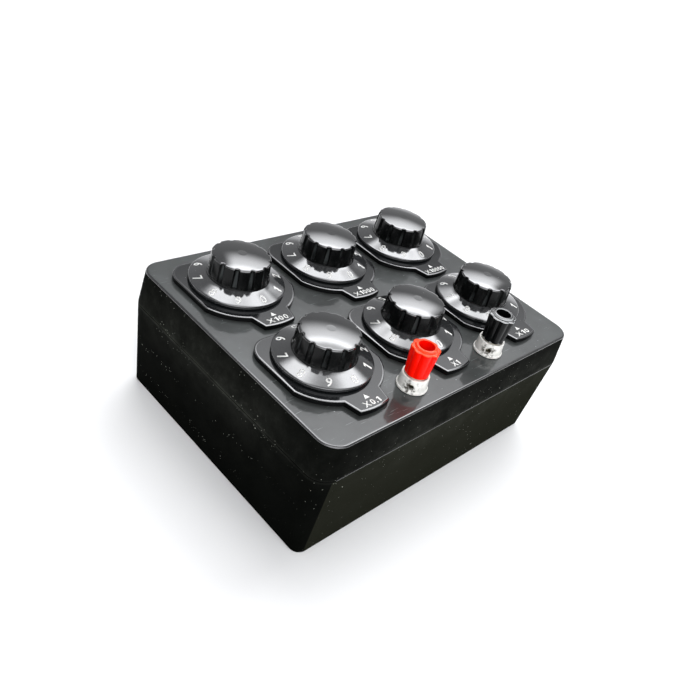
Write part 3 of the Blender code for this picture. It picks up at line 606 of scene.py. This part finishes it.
def makeCover():
    shape = Sizes(**caseShape)
    rim = coverSection(coverBase)
    panelBase = panelTop - shape.panel
    rebateTop = rimHeight + shape.tongue + shape.lipGap
    sections = [
        inset(coverSection(panelBase), shape.wall, panelBase),
        inset(rim, shape.wall, rebateTop),
        inset(rim, shape.lip, rebateTop),
        inset(rim, shape.lip, coverBase),
        *roundedEdge(coverSection, coverBase, shape.rimEdge, top=False),
        *roundedEdge(coverSection, panelTop, shape.topEdge, top=True, width=shape.topEdgeWidth),
    ]
    cover = loopPiece("cover", sections, shape.cornerSteps)
    for spot in columnSpots:
        cut(cover, drum(column.pillar, column.pillarBase, panelTop - shape.panel / 2, spot), "UNION")
    for spot in columnSpots:
        cut(cover, drum(column.hole, column.pillarBase - 1 * mm, column.pilotTop, spot))
    for hole, spots in ((shape.dialHole, dialSpots), (shape.postHole, postSpots)):
        for spot in spots.values():
            cut(cover, drum(hole, panelBase - 1 * mm, panelTop + 1 * mm, spot))
    smooth(cover)
    dressed(cover, "case", "case_plastic", (sidePlastic, panelPlastic, edgePlastic), "case_lid")
    for face in cover.data.polygons:
        if face.normal.z > 0.2 and face.center.z > panelTop - 1 * mm:
            face.material_index = 1 if face.normal.z > 0.985 else 2


makeTray()
makeCover()
print("case made")


# Dials: grip and number skirt in one, twelve flutes, a low dome on top
dialShape = dict(
    sides=360,
    skirt=20.4 * mm,
    skirtBase=2.9 * mm,
    skirtEdge=4.2 * mm,
    skirtRound=0.35 * mm,
    footRound=0.2 * mm,
    coneRings=(19.6 * mm, 17.3 * mm, 15.0 * mm),
    underRim=19.2 * mm,
    underTop=5.0 * mm,
    gripFoot=13.0 * mm,
    gripHead=12.5 * mm,
    gripBase=6.6 * mm,
    gripTop=15.9 * mm,
    topEdge=0.6 * mm,
    roof=17.0 * mm,
    domePower=2.0,
    domeRings=(9.2, 8.2, 7, 5.6, 4.2, 3, 2.2),  # radii in mm
    flutes=12,
    fluteStart=math.radians(15),
    fluteRadius=1.2 * mm,
    fluteCentre=12.8 * mm,
    fluteSill=7.1 * mm,
    cove=0.5 * mm,
    fluteBlend=0.3 * mm,
    fluteFade=0.35,
    cavity=9.08 * mm,
    cavityTop=6.7 * mm,
    bore=3.3 * mm,
    boreTop=13.0 * mm,
    mark=1.9 * mm,
    markDepth=0.006 * mm,
    satin=(12.5 * mm, 13.8 * mm),  # the foot of the grip and the skirt close round it, darkened with the grip's finish: painted shade where grip meets skirt
    satinLow=6.0 * mm,
)
dialSize = Sizes(**dialShape)
coneSlope = (dialSize.gripBase - dialSize.skirtEdge) / (dialSize.skirt - dialSize.gripFoot)
coneTilt = math.atan(coneSlope)


def coneHeight(radius):
    return dialSize.skirtEdge + (dialSize.skirt - radius) * coneSlope


def domeHeight(radius):
    crown = dialSize.roof - dialSize.gripTop
    rim = dialSize.gripHead - dialSize.topEdge
    return dialSize.roof - crown * (radius / rim) ** dialSize.domePower


def gripWall(height):
    run = dialSize.gripTop - dialSize.topEdge - dialSize.gripBase
    share = (height - dialSize.gripBase) / run
    return dialSize.gripFoot + (dialSize.gripHead - dialSize.gripFoot) * share


def fluted(full, amount=0.0, share=1.0):
    pitch = fullTurn / dialSize.flutes

    def radiusAt(angle):
        aside = (angle - dialSize.fluteStart + pitch / 2) % pitch - pitch / 2
        reach = dialSize.fluteRadius ** 2 - (dialSize.fluteCentre * math.sin(aside)) ** 2
        if reach <= 0:
            return full - amount
        hollow = dialSize.fluteCentre * math.cos(aside) - math.sqrt(reach)
        blend = dialSize.fluteBlend
        over = max(blend - abs(full - hollow), 0) / blend
        depth = full - min(full, hollow) + over * over * blend / 4
        return full - depth * share - amount
    return radiusAt


def makeDial():
    shape = dialSize
    edge, foot = shape.skirtRound, shape.footRound
    middle = shape.skirt - edge
    drop = edge / math.cos(coneTilt)
    edgeMiddle = coneHeight(middle) - drop
    rings = [
        (shape.bore, shape.boreTop),
        (shape.bore, shape.cavityTop),
        (shape.cavity, shape.cavityTop),
        (shape.cavity, shape.underTop),
        (shape.gripFoot, shape.underTop),
        (shape.underRim, shape.skirtBase),
        *arc(shape.skirt - foot, shape.skirtBase + foot, foot, -90, 0, 3),
        (shape.skirt, shape.skirtBase + 0.3 * mm),
        (shape.skirt, edgeMiddle - 0.1 * mm),
        *arc(middle, edgeMiddle, edge, 0, 90 - math.degrees(coneTilt), 5),
        *[(radius, coneHeight(radius)) for radius in shape.coneRings],
    ]
    cove = shape.cove
    centre = shape.gripFoot + cove
    coveHeight = coneHeight(centre) + cove / math.cos(coneTilt)
    rings += arc(centre, coveHeight, cove, 270 - math.degrees(coneTilt), 180, 6)
    rings.append((gripWall(shape.fluteSill), shape.fluteSill))
    lip = shape.topEdge
    for height in (shape.fluteSill + 0.08 * mm, 8 * mm, 11 * mm, 14.9 * mm):
        rings.append((fluted(gripWall(height)), height))
    for i in range(6):
        angle = math.pi / 2 * i / 5
        drop = lip * (1 - math.sin(angle))
        reach = fluted(shape.gripHead, lip * (1 - math.cos(angle)), 1 - i * shape.fluteFade / 5)
        rings.append((reach, lambda radius, drop=drop: domeHeight(radius) - drop))
    for share in (0.96, 0.9):
        reach = fluted(shape.gripHead, lip, 1 - shape.fluteFade)
        rings.append((lambda angle, share=share, reach=reach: reach(angle) * share, domeHeight))
    mark = shape.mark
    rings += [(radius * mm, domeHeight) for radius in shape.domeRings] + [(mark, domeHeight)]
    sunk = domeHeight(mark) - shape.markDepth
    for radius in (mark - 0.2 * mm, mark - 0.5 * mm, mark / 2):
        rings.append((radius, sunk))
    rings.append((0, sunk))
    dial = smooth(ringPiece("dial", shape.sides, rings))

    def hollow(point):  # how deep in a flute it lies
        onWall = shape.gripBase < point.z < shape.gripTop - 1 * mm
        return (gripWall(point.z) - point.xy.length) / shape.fluteRadius if onWall else 0.0

    pointMask(dial, "hollow", hollow)
    return dial


letterShape = dict(
    gap=0.12,
    thick=0.02 * mm,
    one=[(0.15, 0), (0.28, 0), (0.28, 0.71), (0.18, 0.71), (0, 0.58), (0, 0.45), (0.15, 0.54)],  # with a flag
)


def wroteLetter(letter, bold):
    if letter == "1":
        flatOutline("one", [(x + bold * (1 if x > 0.16 else -1), y) for x, y in letterShape["one"]], 0)
    else:
        clearSelection()
        bpy.ops.object.text_add()
        words = bpy.context.object
        words.data.body = letter
        words.data.resolution_u = 6
        words.data.offset = bold
        bpy.ops.object.convert(target="MESH")
        startEditing("letter")
        bpy.ops.mesh.remove_doubles(threshold=0.0001)
        bpy.ops.mesh.dissolve_limited(angle_limit=0.001)
    bpy.ops.object.mode_set(mode="OBJECT")
    return bpy.context.object


def wroteText(text, tall, bold, wide=None):
    thick = letterShape["thick"]
    letters, end = [], 0
    for letter in text:
        made = wroteLetter(letter, bold)
        xs = [vert.co.x for vert in made.data.vertices]
        made.data.transform(Matrix.Translation((end - min(xs), 0, 0)))
        end += max(xs) - min(xs) + letterShape["gap"]
        letters.append(made)
    words = joined(letters, "words") if len(letters) > 1 else made
    pick(words)
    xs = [vert.co.x for vert in words.data.vertices]
    ys = [vert.co.y for vert in words.data.vertices]
    scale = tall / (max(ys) - min(ys))
    scaleX = wide / (max(xs) - min(xs)) if wide else scale
    centre = Matrix.Translation((-(max(xs) + min(xs)) / 2, -(max(ys) + min(ys)) / 2, -thick / 2))
    words.data.transform(Matrix.Diagonal((scaleX, scale, 1, 1)) @ centre)
    startEditing("words")
    bpy.ops.mesh.extrude_region_move(TRANSFORM_OT_translate={"value": (0, 0, thick)})
    stopEditing()
    return words


numberRing = dict(radius=17.4 * mm, tall=3.9 * mm, bold=0.01, lift=0.02 * mm)


def makeNumbers():
    digits = []
    seat = (0, -numberRing["radius"], coneHeight(numberRing["radius"]) + numberRing["lift"])
    lean = Matrix.Translation(seat) @ Matrix.Rotation(coneTilt, 4, "X")
    for value in range(10):
        digits.append(wroteText(str(value), numberRing["tall"], numberRing["bold"]))
        digits[-1].data.transform(Matrix.Rotation(fullTurn * value / 10, 4, "Z") @ lean)
    return joined(digits, "numbers")


dial = makeDial()
numbers = makeNumbers()
for name in dialNames:
    spot, body = dialSpots[name], f"dial_{name}"
    finishes = (dialPlastic, gripPlastic, skirtPlastic)
    made = dressed(copied(dial, f"dial_{name}", spot), body, "knob_plastic", finishes, f"knob_{name}")
    inner, outer = dialSize.satin
    for face in made.data.polygons:
        height = face.center.z - panelTop
        reach = (face.center - spot).xy.length
        onGrip = abs(face.normal.z) < 0.3 and dialSize.gripBase < height < dialSize.gripTop
        # the ring round the grip's foot gets the grip's dark finish: painted shade
        atFoot = inner < reach < outer and dialSize.satinLow < height < dialSize.fluteSill
        if onGrip or atFoot:
            face.material_index = 1
        elif reach > outer:
            face.material_index = 2
    dressed(copied(numbers, f"numbers_{name}", spot), body, "knob_plastic", [ink])
discard(dial, numbers)
print("dials made")


# Index plates: rounded back, round front, a tab with the multiplier and a pointer
plateShape = dict(
    low=0.3 * mm,
    high=2.4 * mm,
    halfWidth=22.8 * mm,
    back=20.0 * mm,
    corner=9.4 * mm,
    front=24.9 * mm,
    tabReach=30.9 * mm,
    tabRoot=9.5 * mm,
    tabEnd=7.7 * mm,
    hole=5.0 * mm,
    edge=0.2 * mm,
    crownWidth=0.6 * mm,
    crownRise=0.12 * mm,
)
labels = {
    "tenths": ("X0.1", 8.6 * mm),
    "units": ("X1", 4.6 * mm),
    "tens": ("X10", 9.4 * mm),
    "hundreds": ("X100", 10.6 * mm),
    "thousands": ("X1000", 12.2 * mm),
    "ten_thousands": ("X10000", 13.6 * mm),
}
labelShape = dict(
    tall=2.7 * mm,
    bold=0.028,
    middle=-27.9 * mm,
    lift=0.02 * mm,
    tip=-23.3 * mm,
    foot=-25.5 * mm,
    arrowHalf=1.2 * mm,
    arrowThick=0.05 * mm,
)


def plateOutline():
    shape = Sizes(**plateShape)
    inX = shape.halfWidth - shape.corner
    inY = shape.back - shape.corner
    side, root, end = [math.degrees(math.acos(share)) for share in (
        shape.halfWidth / shape.front, shape.tabRoot / shape.front, shape.tabEnd / shape.tabReach)]
    return [
        *arc(inX, inY, shape.corner, 0, 90, 14),
        *arc(-inX, inY, shape.corner, 90, 180, 14),
        *arc(0, 0, shape.front, 180 + side, 180 + root, 14),
        *arc(0, 0, shape.tabReach, 180 + end, 360 - end, 14),
        *arc(0, 0, shape.front, 360 - root, 360 - side, 14),
    ]


def makePlate():
    shape = Sizes(**plateShape)
    plate = outlinePiece("plate", plateOutline(), shape.low, shape.high - shape.crownRise)
    bpy.ops.mesh.bevel(offset=shape.edge, segments=4, affect="EDGES")
    work = bmesh.from_edit_mesh(plate.data)
    top = max(work.faces, key=lambda face: face.calc_center_median().z)
    choose([vert.index for vert in top.verts])
    bpy.ops.mesh.inset(thickness=shape.crownWidth, depth=shape.crownRise)
    stopEditing()
    cut(plate, drum(shape.hole, -1 * mm, 4 * mm, (0, 0)))
    smooth(plate)
    level = plate.modifiers.new("level", "WEIGHTED_NORMAL")
    level.keep_sharp = True
    applyAll(plate)
    return plate


def makeLabel(name):
    shape = Sizes(**labelShape)
    text, wide = labels[name]
    lift, half = plateShape["high"] + shape.lift, shape.arrowThick / 2
    words = moved(wroteText(text, shape.tall, shape.bold, wide), (0, shape.middle, lift))
    outline = [(0, shape.tip), (-shape.arrowHalf, shape.foot), (shape.arrowHalf, shape.foot)]
    arrow = outlinePiece("arrow", outline, lift - half, lift + half)
    stopEditing()
    return moved(joined([words, arrow], f"label_{name}"), dialSpots[name])


plate = makePlate()
for name in dialNames:
    finishes = (platePlastic, gripPlastic, edgePlastic)
    made = copied(plate, f"plate_{name}", dialSpots[name])
    dressed(made, "case", "plate_plastic", finishes, f"index_plate_{name}")
    for face in made.data.polygons:
        if face.normal.z < 0.99:
            face.material_index = 2 if face.normal.z > 0.4 else 1
    dressed(makeLabel(name), "case", "plate_plastic", [ink])
discard(plate)
print("index plates made")


# Binding posts: screw cap, clear collar, clamp ring and threaded stud
capShape = dict(
    sides=256,
    ribs=8,
    ribDepth=0.7 * mm,
    grooveRound=0.01,
    base=6.9 * mm,
    foot=5.0 * mm,
    rim=5.95 * mm,
    rimTop=19.1 * mm,
    top=20.0 * mm,
    edge=0.4 * mm,
    ease=0.08 * mm,
    crownFoot=4.5 * mm,
    crownTop=4.3 * mm,
    well=3.25 * mm,
)
studShape = dict(
    sides=64,
    radius=2.95 * mm,
    root=2.55 * mm,
    pitch=1.0 * mm,
    top=13.7 * mm,
    bore=2.05 * mm,
    boreFloor=5.1 * mm,
    flange=4.3 * mm,
    flangeLow=1.1 * mm,
    flangeHigh=1.9 * mm,
    tail=-12.0 * mm,
    wireHole=1.2 * mm,
    wireHeight=3.3 * mm,
    wireAngle=math.radians(-150),
)
collarShape = dict(
    sides=128,
    bore=4.9 * mm,
    lip=6.4 * mm,
    lipRound=(0.15 * mm, 0.25 * mm),
    taperTop=(5.7 * mm, 6.0 * mm),
    taperFoot=(6.05 * mm, 1.5 * mm),
    foot=6.5 * mm,
    footRound=0.3 * mm,
    base=0.3 * mm,
    sleeve=4.2 * mm,
    sleeveEnd=-2.6 * mm,
    hole=3.25 * mm,
    floor=0.8 * mm,
    seenReach=4.0 * mm,
    seenFade=1.6 * mm,
)
clampShape = dict(
    sides=96,
    hole=3.25 * mm,
    outside=4.6 * mm,
    low=4.8 * mm,
    high=6.6 * mm,
    holeEdge=0.15 * mm,
    outsideEdge=0.2 * mm,
)


def ribbed(radius, depth):  # round ribs with narrow grooves between them
    def radiusAt(angle):
        crest = math.sqrt(math.cos(capShape["ribs"] / 2 * angle) ** 2 + capShape["grooveRound"])
        return radius - depth * (math.sqrt(1 + capShape["grooveRound"]) - crest)
    return radiusAt


def makeCap():
    shape = Sizes(**capShape)
    edge = shape.edge
    rings = [(shape.well, shape.base), (shape.foot - edge - 0.1 * mm, shape.base)]
    for radius, height in arc(shape.foot - edge, shape.base + edge, edge, -90, 0, 4):
        rings.append((ribbed(radius, shape.ribDepth / 2 * (height - shape.base) / edge), height))
    low, high = shape.base + edge, shape.rimTop - edge
    for share in (0.02, 0.5, 0.98):
        radius = shape.foot + (shape.rim - shape.foot) * share
        rings.append((ribbed(radius, shape.ribDepth * (1 + share) / 2), low + (high - low) * share))
    for radius, height in arc(shape.rim - edge, high - shape.ease, edge, 0, 79, 4):
        rings.append((ribbed(radius, shape.ribDepth), height))
    rings += [
        (ribbed(shape.rim - 2 * edge, shape.ribDepth * 0.9), shape.rimTop),
        (shape.crownFoot + 0.1 * mm, shape.rimTop),
        (shape.crownFoot, shape.rimTop),
        (shape.crownFoot - 0.03 * mm, shape.rimTop + 0.1 * mm),
        *arc(shape.crownTop - 0.22 * mm, shape.top - 0.2 * mm - shape.ease, 0.2 * mm, 0, 79, 3),
        (shape.crownTop - 0.6 * mm, shape.top),
        *arc(shape.well + 0.25 * mm, shape.top - 0.25 * mm, 0.25 * mm, 90, 180, 4),
        (shape.well, shape.top - 0.5 * mm),
    ]
    return smooth(ringPiece("cap", shape.sides, rings, hollow=True))


def makeCollar():
    shape = Sizes(**collarShape)
    inner, outer = shape.lipRound
    foot = shape.footRound
    rings = [
        (shape.bore, shape.lip),
        *arc(shape.bore + inner, shape.lip, inner, 180, 90, 3),
        *arc(shape.bore + 2 * outer, shape.lip - 0.1 * mm, outer, 90, 5, 4),
        *[mixed(shape.taperTop, shape.taperFoot, i / 10) for i in range(11)],
        (shape.taperFoot[0] + 0.05 * mm, shape.taperFoot[1] - 0.15 * mm),
        *arc(shape.foot - foot, shape.base + 2 * foot, foot, 90, 0, 5),
        (shape.foot, shape.base),
        (shape.sleeve, shape.base),
        (shape.sleeve, shape.sleeveEnd),
        (shape.hole, shape.sleeveEnd),
        (shape.hole, shape.floor),
        (shape.bore - 0.2 * mm, shape.floor),
        (shape.bore, shape.floor + 0.2 * mm),
    ]
    collar = ringPiece("collar", shape.sides, rings, hollow=True)
    cut(collar, wireTool(shape.foot - foot))
    smooth(collar)
    along = Vector((math.cos(studShape["wireAngle"]), math.sin(studShape["wireAngle"]), 0))

    def seen(point):  # where the stud's cross hole would show through; the dark swirls are painted there
        offset = point - Vector((0, 0, studShape["wireHeight"]))
        away = (offset - along * offset.dot(along)).length
        return max(0.0, min(1.0, (shape.seenReach - away) / shape.seenFade))

    pointMask(collar, "seen", seen)
    return collar


def wireTool(reach):
    middle, turn = (0, 0, studShape["wireHeight"]), (0, math.pi / 2, studShape["wireAngle"])
    return rod(studShape["wireHole"], 2 * reach + 1 * mm, middle, turn, steps=32)


def threadRings(high, low):
    root, crest, pitch = studShape["root"], studShape["radius"], studShape["pitch"]
    count = int((high - low) / pitch)
    for i in range(count):
        for share, radius in ((0.0, root), (0.35, crest), (0.55, crest), (0.9, root)):
            yield radius, high - (i + share) * pitch
    yield root, high - count * pitch


def makeStud():
    shape = Sizes(**studShape)
    rings = [
        (shape.bore, shape.boreFloor),
        (shape.bore, shape.top - 0.3 * mm),
        (shape.bore + 0.25 * mm, shape.top),
        (shape.root + 0.1 * mm, shape.top),
        (shape.radius, shape.top - 0.25 * mm),
        (shape.radius, shape.top - 0.5 * mm),
        *threadRings(shape.top - 0.7 * mm, shape.flangeHigh + 0.1 * mm),
        (shape.root, shape.flangeHigh),
        *arc(shape.flange - 0.15 * mm, shape.flangeHigh - 0.15 * mm, 0.15 * mm, 90, 0, 2),
        (shape.flange, shape.flangeLow),
        (shape.radius, shape.flangeLow),
        (shape.radius, -2.8 * mm),
        *threadRings(-3.0 * mm, shape.tail + 0.4 * mm),
        (shape.root - 0.2 * mm, shape.tail),
    ]
    stud = ringPiece("stud", shape.sides, rings)
    cut(stud, wireTool(shape.radius))
    return smooth(stud)


def makeClampRing():
    shape = Sizes(**clampShape)
    inner, outer = shape.holeEdge, shape.outsideEdge
    rings = [
        (shape.hole, shape.low + inner),
        (shape.hole, shape.high - inner),
        (shape.hole + inner, shape.high),
        (shape.outside - outer, shape.high),
        (shape.outside, shape.high - outer),
        (shape.outside, shape.low + outer),
        (shape.outside - outer, shape.low),
        (shape.hole + inner, shape.low),
    ]
    return smooth(ringPiece("clamp", shape.sides, rings, hollow=True))


cap, collar, stud, clamp = makeCap(), makeCollar(), makeStud(), makeClampRing()
for name in postNames:
    spot = Vector((*postSpots[name].xy, panelTop))
    worn = [edgePlastic, capEdgePaintedHighlight] if name == "black" else []  # its rounded top edges are painted pale grey: painted highlight
    capSlot = "red_plastic" if name == "red" else "knob_plastic"
    made = copied(cap, f"cap_{name}", spot)
    dressed(made, f"{name}_cap", capSlot, [capPlastic[name], capWalls[name], *worn], f"post_cap_{name}")
    for face in made.data.polygons:
        if abs(face.normal.z) < 0.3:
            face.material_index = 1
        elif worn and 0.3 < face.normal.z < 0.997:
            face.material_index = 2 if face.normal.z > 0.9 else 3
    for piece, part, body, slot, finish in (
            (clamp, "clamp_ring", f"{name}_clamp", "brass", nickel),
            (collar, "post_collar", "case", "clear_plastic", clearPlastic),
            (stud, "post_stud", "case", "nickel_plate", nickel)):
        dressed(copied(piece, f"{piece.name}_{name}", spot), body, slot, [finish], f"{part}_{name}")
discard(cap, collar, stud, clamp)
print("posts made")


# Case screws: cheese heads with a slot, seen from below
screwShape = dict(
    sides=48,
    head=3.0 * mm,
    headLow=1.0 * mm,
    headHigh=3.2 * mm,
    headEdge=0.5 * mm,
    shank=1.45 * mm,
    root=1.2 * mm,
    tip=19.2 * mm,
    pitch=0.9 * mm,
    slotWidth=0.9 * mm,
    slotDepth=1.1 * mm,
)


def makeScrew():
    shape = Sizes(**screwShape)
    edge = shape.headEdge
    rings = [
        (shape.root, shape.headLow),
        (shape.root + 1 * mm, shape.headLow),
        *arc(shape.head - edge, shape.headLow + edge, edge, -90, 0, 4),
        (shape.head, shape.headLow + 0.7 * mm),
        (shape.head, shape.headHigh - 0.1 * mm),
        (shape.head - 0.1 * mm, shape.headHigh),
        (shape.shank, shape.headHigh),
    ]
    count = int((shape.tip - shape.headHigh) / shape.pitch) - 1
    for i in range(count):
        base = shape.headHigh + 0.3 * mm + i * shape.pitch
        rings += [(shape.root, base), (shape.shank, base + 0.35 * mm), (shape.shank, base + 0.45 * mm)]
    rings += [(shape.root, shape.tip - 0.9 * mm), (0.5 * mm, shape.tip)]
    screw = ringPiece("screw", shape.sides, rings)
    clearSelection()
    bpy.ops.mesh.primitive_cube_add(size=1, location=(0, 0, shape.headLow))
    slot = bpy.context.object
    slot.scale = (2 * shape.head + 1 * mm, shape.slotWidth, 2 * shape.slotDepth)
    bpy.ops.object.transform_apply()
    cut(screw, slot)
    return smooth(screw)


screw = makeScrew()
for i in range(4):
    low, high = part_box(f"case_screw_{i + 1}")
    made = copied(screw, f"screw_{i + 1}", Vector((*(low + high).xy / 2, 0)), fullTurn * i / 8)
    dressed(made, "case", "zinc_steel", [zinc], f"case_screw_{i + 1}")
discard(screw)
print("screws made")


# Inside pieces keep their solids and get real finishes
# Brown phenolic laminate: sawn sheet, faint layers and fibre flecks
def makeLaminate():
    material, add, place = newMaterial("brown phenolic laminate", IOR=1.6, Roughness=0.5)
    fibre = add("Mapping", {"Vector": place, "Scale": (1, 5, 12)})
    fleck = add("TexNoise", {"Vector": fibre, "Scale": perMetre(3 * mm), "Detail": 5})
    layers = add("ValToRGB", {"Fac": fleck}, stops=[(0.35, 0), (0.7, 1)])
    return painted(material, layers, ("#5a2f17", "#7a4623"), relief=(fleck, 0.3, 0.03 * mm))


# Enamelled wire on card, under shellac: turns drawn 2.5 mm apart so that they show
def makeWinding():
    material, add, place = newMaterial("shellacked wire winding", IOR=1.5, Roughness=0.4)
    wound = {"Vector": place, "Scale": waveScale(2.5133 * mm), "Distortion": 0.6}
    turns = add("TexWave", wound, "Fac", bands_direction="Z")
    return painted(material, turns, ("#4a2a14", "#a9743a"), relief=(turns, 0.6, 0.1 * mm))


# Yellow PVC, extruded over the wire: soft sheen, a little uneven
def makeInsulation():
    material, add, place = newMaterial("yellow PVC insulation", IOR=1.53, Roughness=0.42)
    flow = add("TexNoise", {"Vector": place, "Scale": perMetre(5 * mm), "Detail": 3})
    uneven = add("ValToRGB", {"Fac": flow}, stops=[(0.3, 0), (0.7, 1)])
    return painted(material, uneven, ("#d9ab1c", "#c39312"))


laminate, winding, insulation = makeLaminate(), makeWinding(), makeInsulation()
insideFinish = {
    "bush_nut_": nickel,
    "stud_nut_": nickel,
    "switch_shaft_": brass,
    "switch_body_": laminate,
    "resistor_bank_": winding,
    "series_lead_": insulation,
}
for name, node in frame["nodes"].items():
    for start, finish in insideFinish.items():
        if name.startswith(start):
            node.data.materials.clear()
            node.data.materials.append(finish)
print("inside pieces finished")


# Studio: pale floor and a soft sky with a broad band of light and a window
def makeFloor():
    clearSelection()
    bpy.ops.mesh.primitive_plane_add(size=20)
    floor = bpy.context.object
    floor.name = "floor"
    tone = linearColour("#f6f6f5")
    paper, *_ = newMaterial("pale paper", Base_Color=tone, Roughness=0.9, Specular_IOR_Level=0.1)
    floor.data.materials.append(paper)


skyShape = dict(  # angles in degrees; a pair says where a soft edge starts and ends
    level=0.38,
    tint="#fbfcff",
    horizon=(15, 4),
    axis=(0.1177, -0.1453, 1),
)
skyBands = [
    dict(azimuth=36, low=(42, 52), high=(81, 63), half=(47, 40), strength=5.6),  # the broad strip
    dict(azimuth=37, low=(25, 46), high=(53, 47), half=(22, 14), strength=4.0),  # a window under it
    dict(azimuth=36, low=(47, 52), high=(60, 55), half=(30, 18), strength=-3.0),  # the bar between
]
skyFill = dict(azimuth=-118, elevation=38, spread=(50, 0), strength=2.4)
lampShape = dict(azimuth=25, elevation=80, disc=60, strength=0.15)
cameraShape = dict(
    lens=37.147,
    sensor=36,
    shift=(0.00806, 0.00302),
    spot=(-0.2276, -0.1603, 0.2276),
    turn=(0.9274, -0.2507, -0.7583),
)


def towards(azimuth, elevation):
    around, up = math.radians(azimuth), math.radians(elevation)
    return Vector((math.cos(up) * math.cos(around), math.cos(up) * math.sin(around), math.sin(up)))


def limits(function, angles):
    return [function(math.radians(angle)) for angle in angles]


def makeSky():
    world = bpy.data.worlds.new("studio sky")
    bpy.context.scene.world = world
    world.use_nodes = True
    tree = world.node_tree
    add = partial(addNode, tree)
    back = tree.nodes["Background"]
    back.inputs["Color"].default_value = linearColour(skyShape["tint"])
    direction = add("TexCoord", output="Generated")
    level = add("VectorMath", {0: direction, 1: (1, 1, 0)}, operation="MULTIPLY")
    level = add("VectorMath", {0: level}, operation="NORMALIZE")
    aims = [
        (direction, Vector(skyShape["axis"]).normalized()),
        (direction, (0, 0, 1)),
        (direction, towards(skyFill["azimuth"], skyFill["elevation"])),
        *[(level, towards(band["azimuth"], 0)) for band in skyBands],
    ]
    rise, up, toFill, *asides = [
        add("VectorMath", {0: source, 1: aim}, "Value", operation="DOT_PRODUCT") for source, aim in aims]
    parts = [(skyFill["strength"], [(toFill, *limits(math.cos, skyFill["spread"]))])]
    for band, aside in zip(skyBands, asides):
        low, high = limits(math.sin, band["low"]), limits(math.sin, band["high"])
        half = limits(math.cos, band["half"])
        parts.append((band["strength"], [(rise, *low), (rise, *high), (aside, *half)]))
    parts.append((1 - skyShape["level"], [(up, *limits(math.sin, skyShape["horizon"]))]))
    light = skyShape["level"]
    for strength, edges in parts:
        for source, start, end in edges:
            edge = {"Value": source, "From Min": start, "From Max": end}
            soft = add("MapRange", edge, interpolation_type="SMOOTHSTEP")
            strength = add("Math", {0: strength, 1: soft}, operation="MULTIPLY")
        light = add("Math", {0: light, 1: strength}, operation="ADD")
    tree.links.new(light, back.inputs["Strength"])


def holderFor(data):
    holder = bpy.data.objects.new(data.name, data)
    bpy.context.scene.collection.objects.link(holder)
    return holder


def makeLamp():
    lamp = bpy.data.lights.new("top", "SUN")
    lamp.energy = lampShape["strength"]
    lamp.angle = math.radians(lampShape["disc"])
    aim = towards(lampShape["azimuth"], lampShape["elevation"])
    holderFor(lamp).rotation_euler = aim.to_track_quat("Z", "Y").to_euler()


def makeCamera():
    camera = bpy.data.cameras.new("camera")
    camera.lens = cameraShape["lens"]
    camera.sensor_width = cameraShape["sensor"]
    camera.shift_x, camera.shift_y = cameraShape["shift"]
    camera.clip_start = 0.01
    holder = holderFor(camera)
    holder.location = cameraShape["spot"]
    holder.rotation_euler = cameraShape["turn"]
    bpy.context.scene.camera = holder


makeFloor()
makeSky()
makeLamp()
makeCamera()
bpy.context.scene.view_settings.view_transform = "Standard"
clearSelection()
print("studio ready")
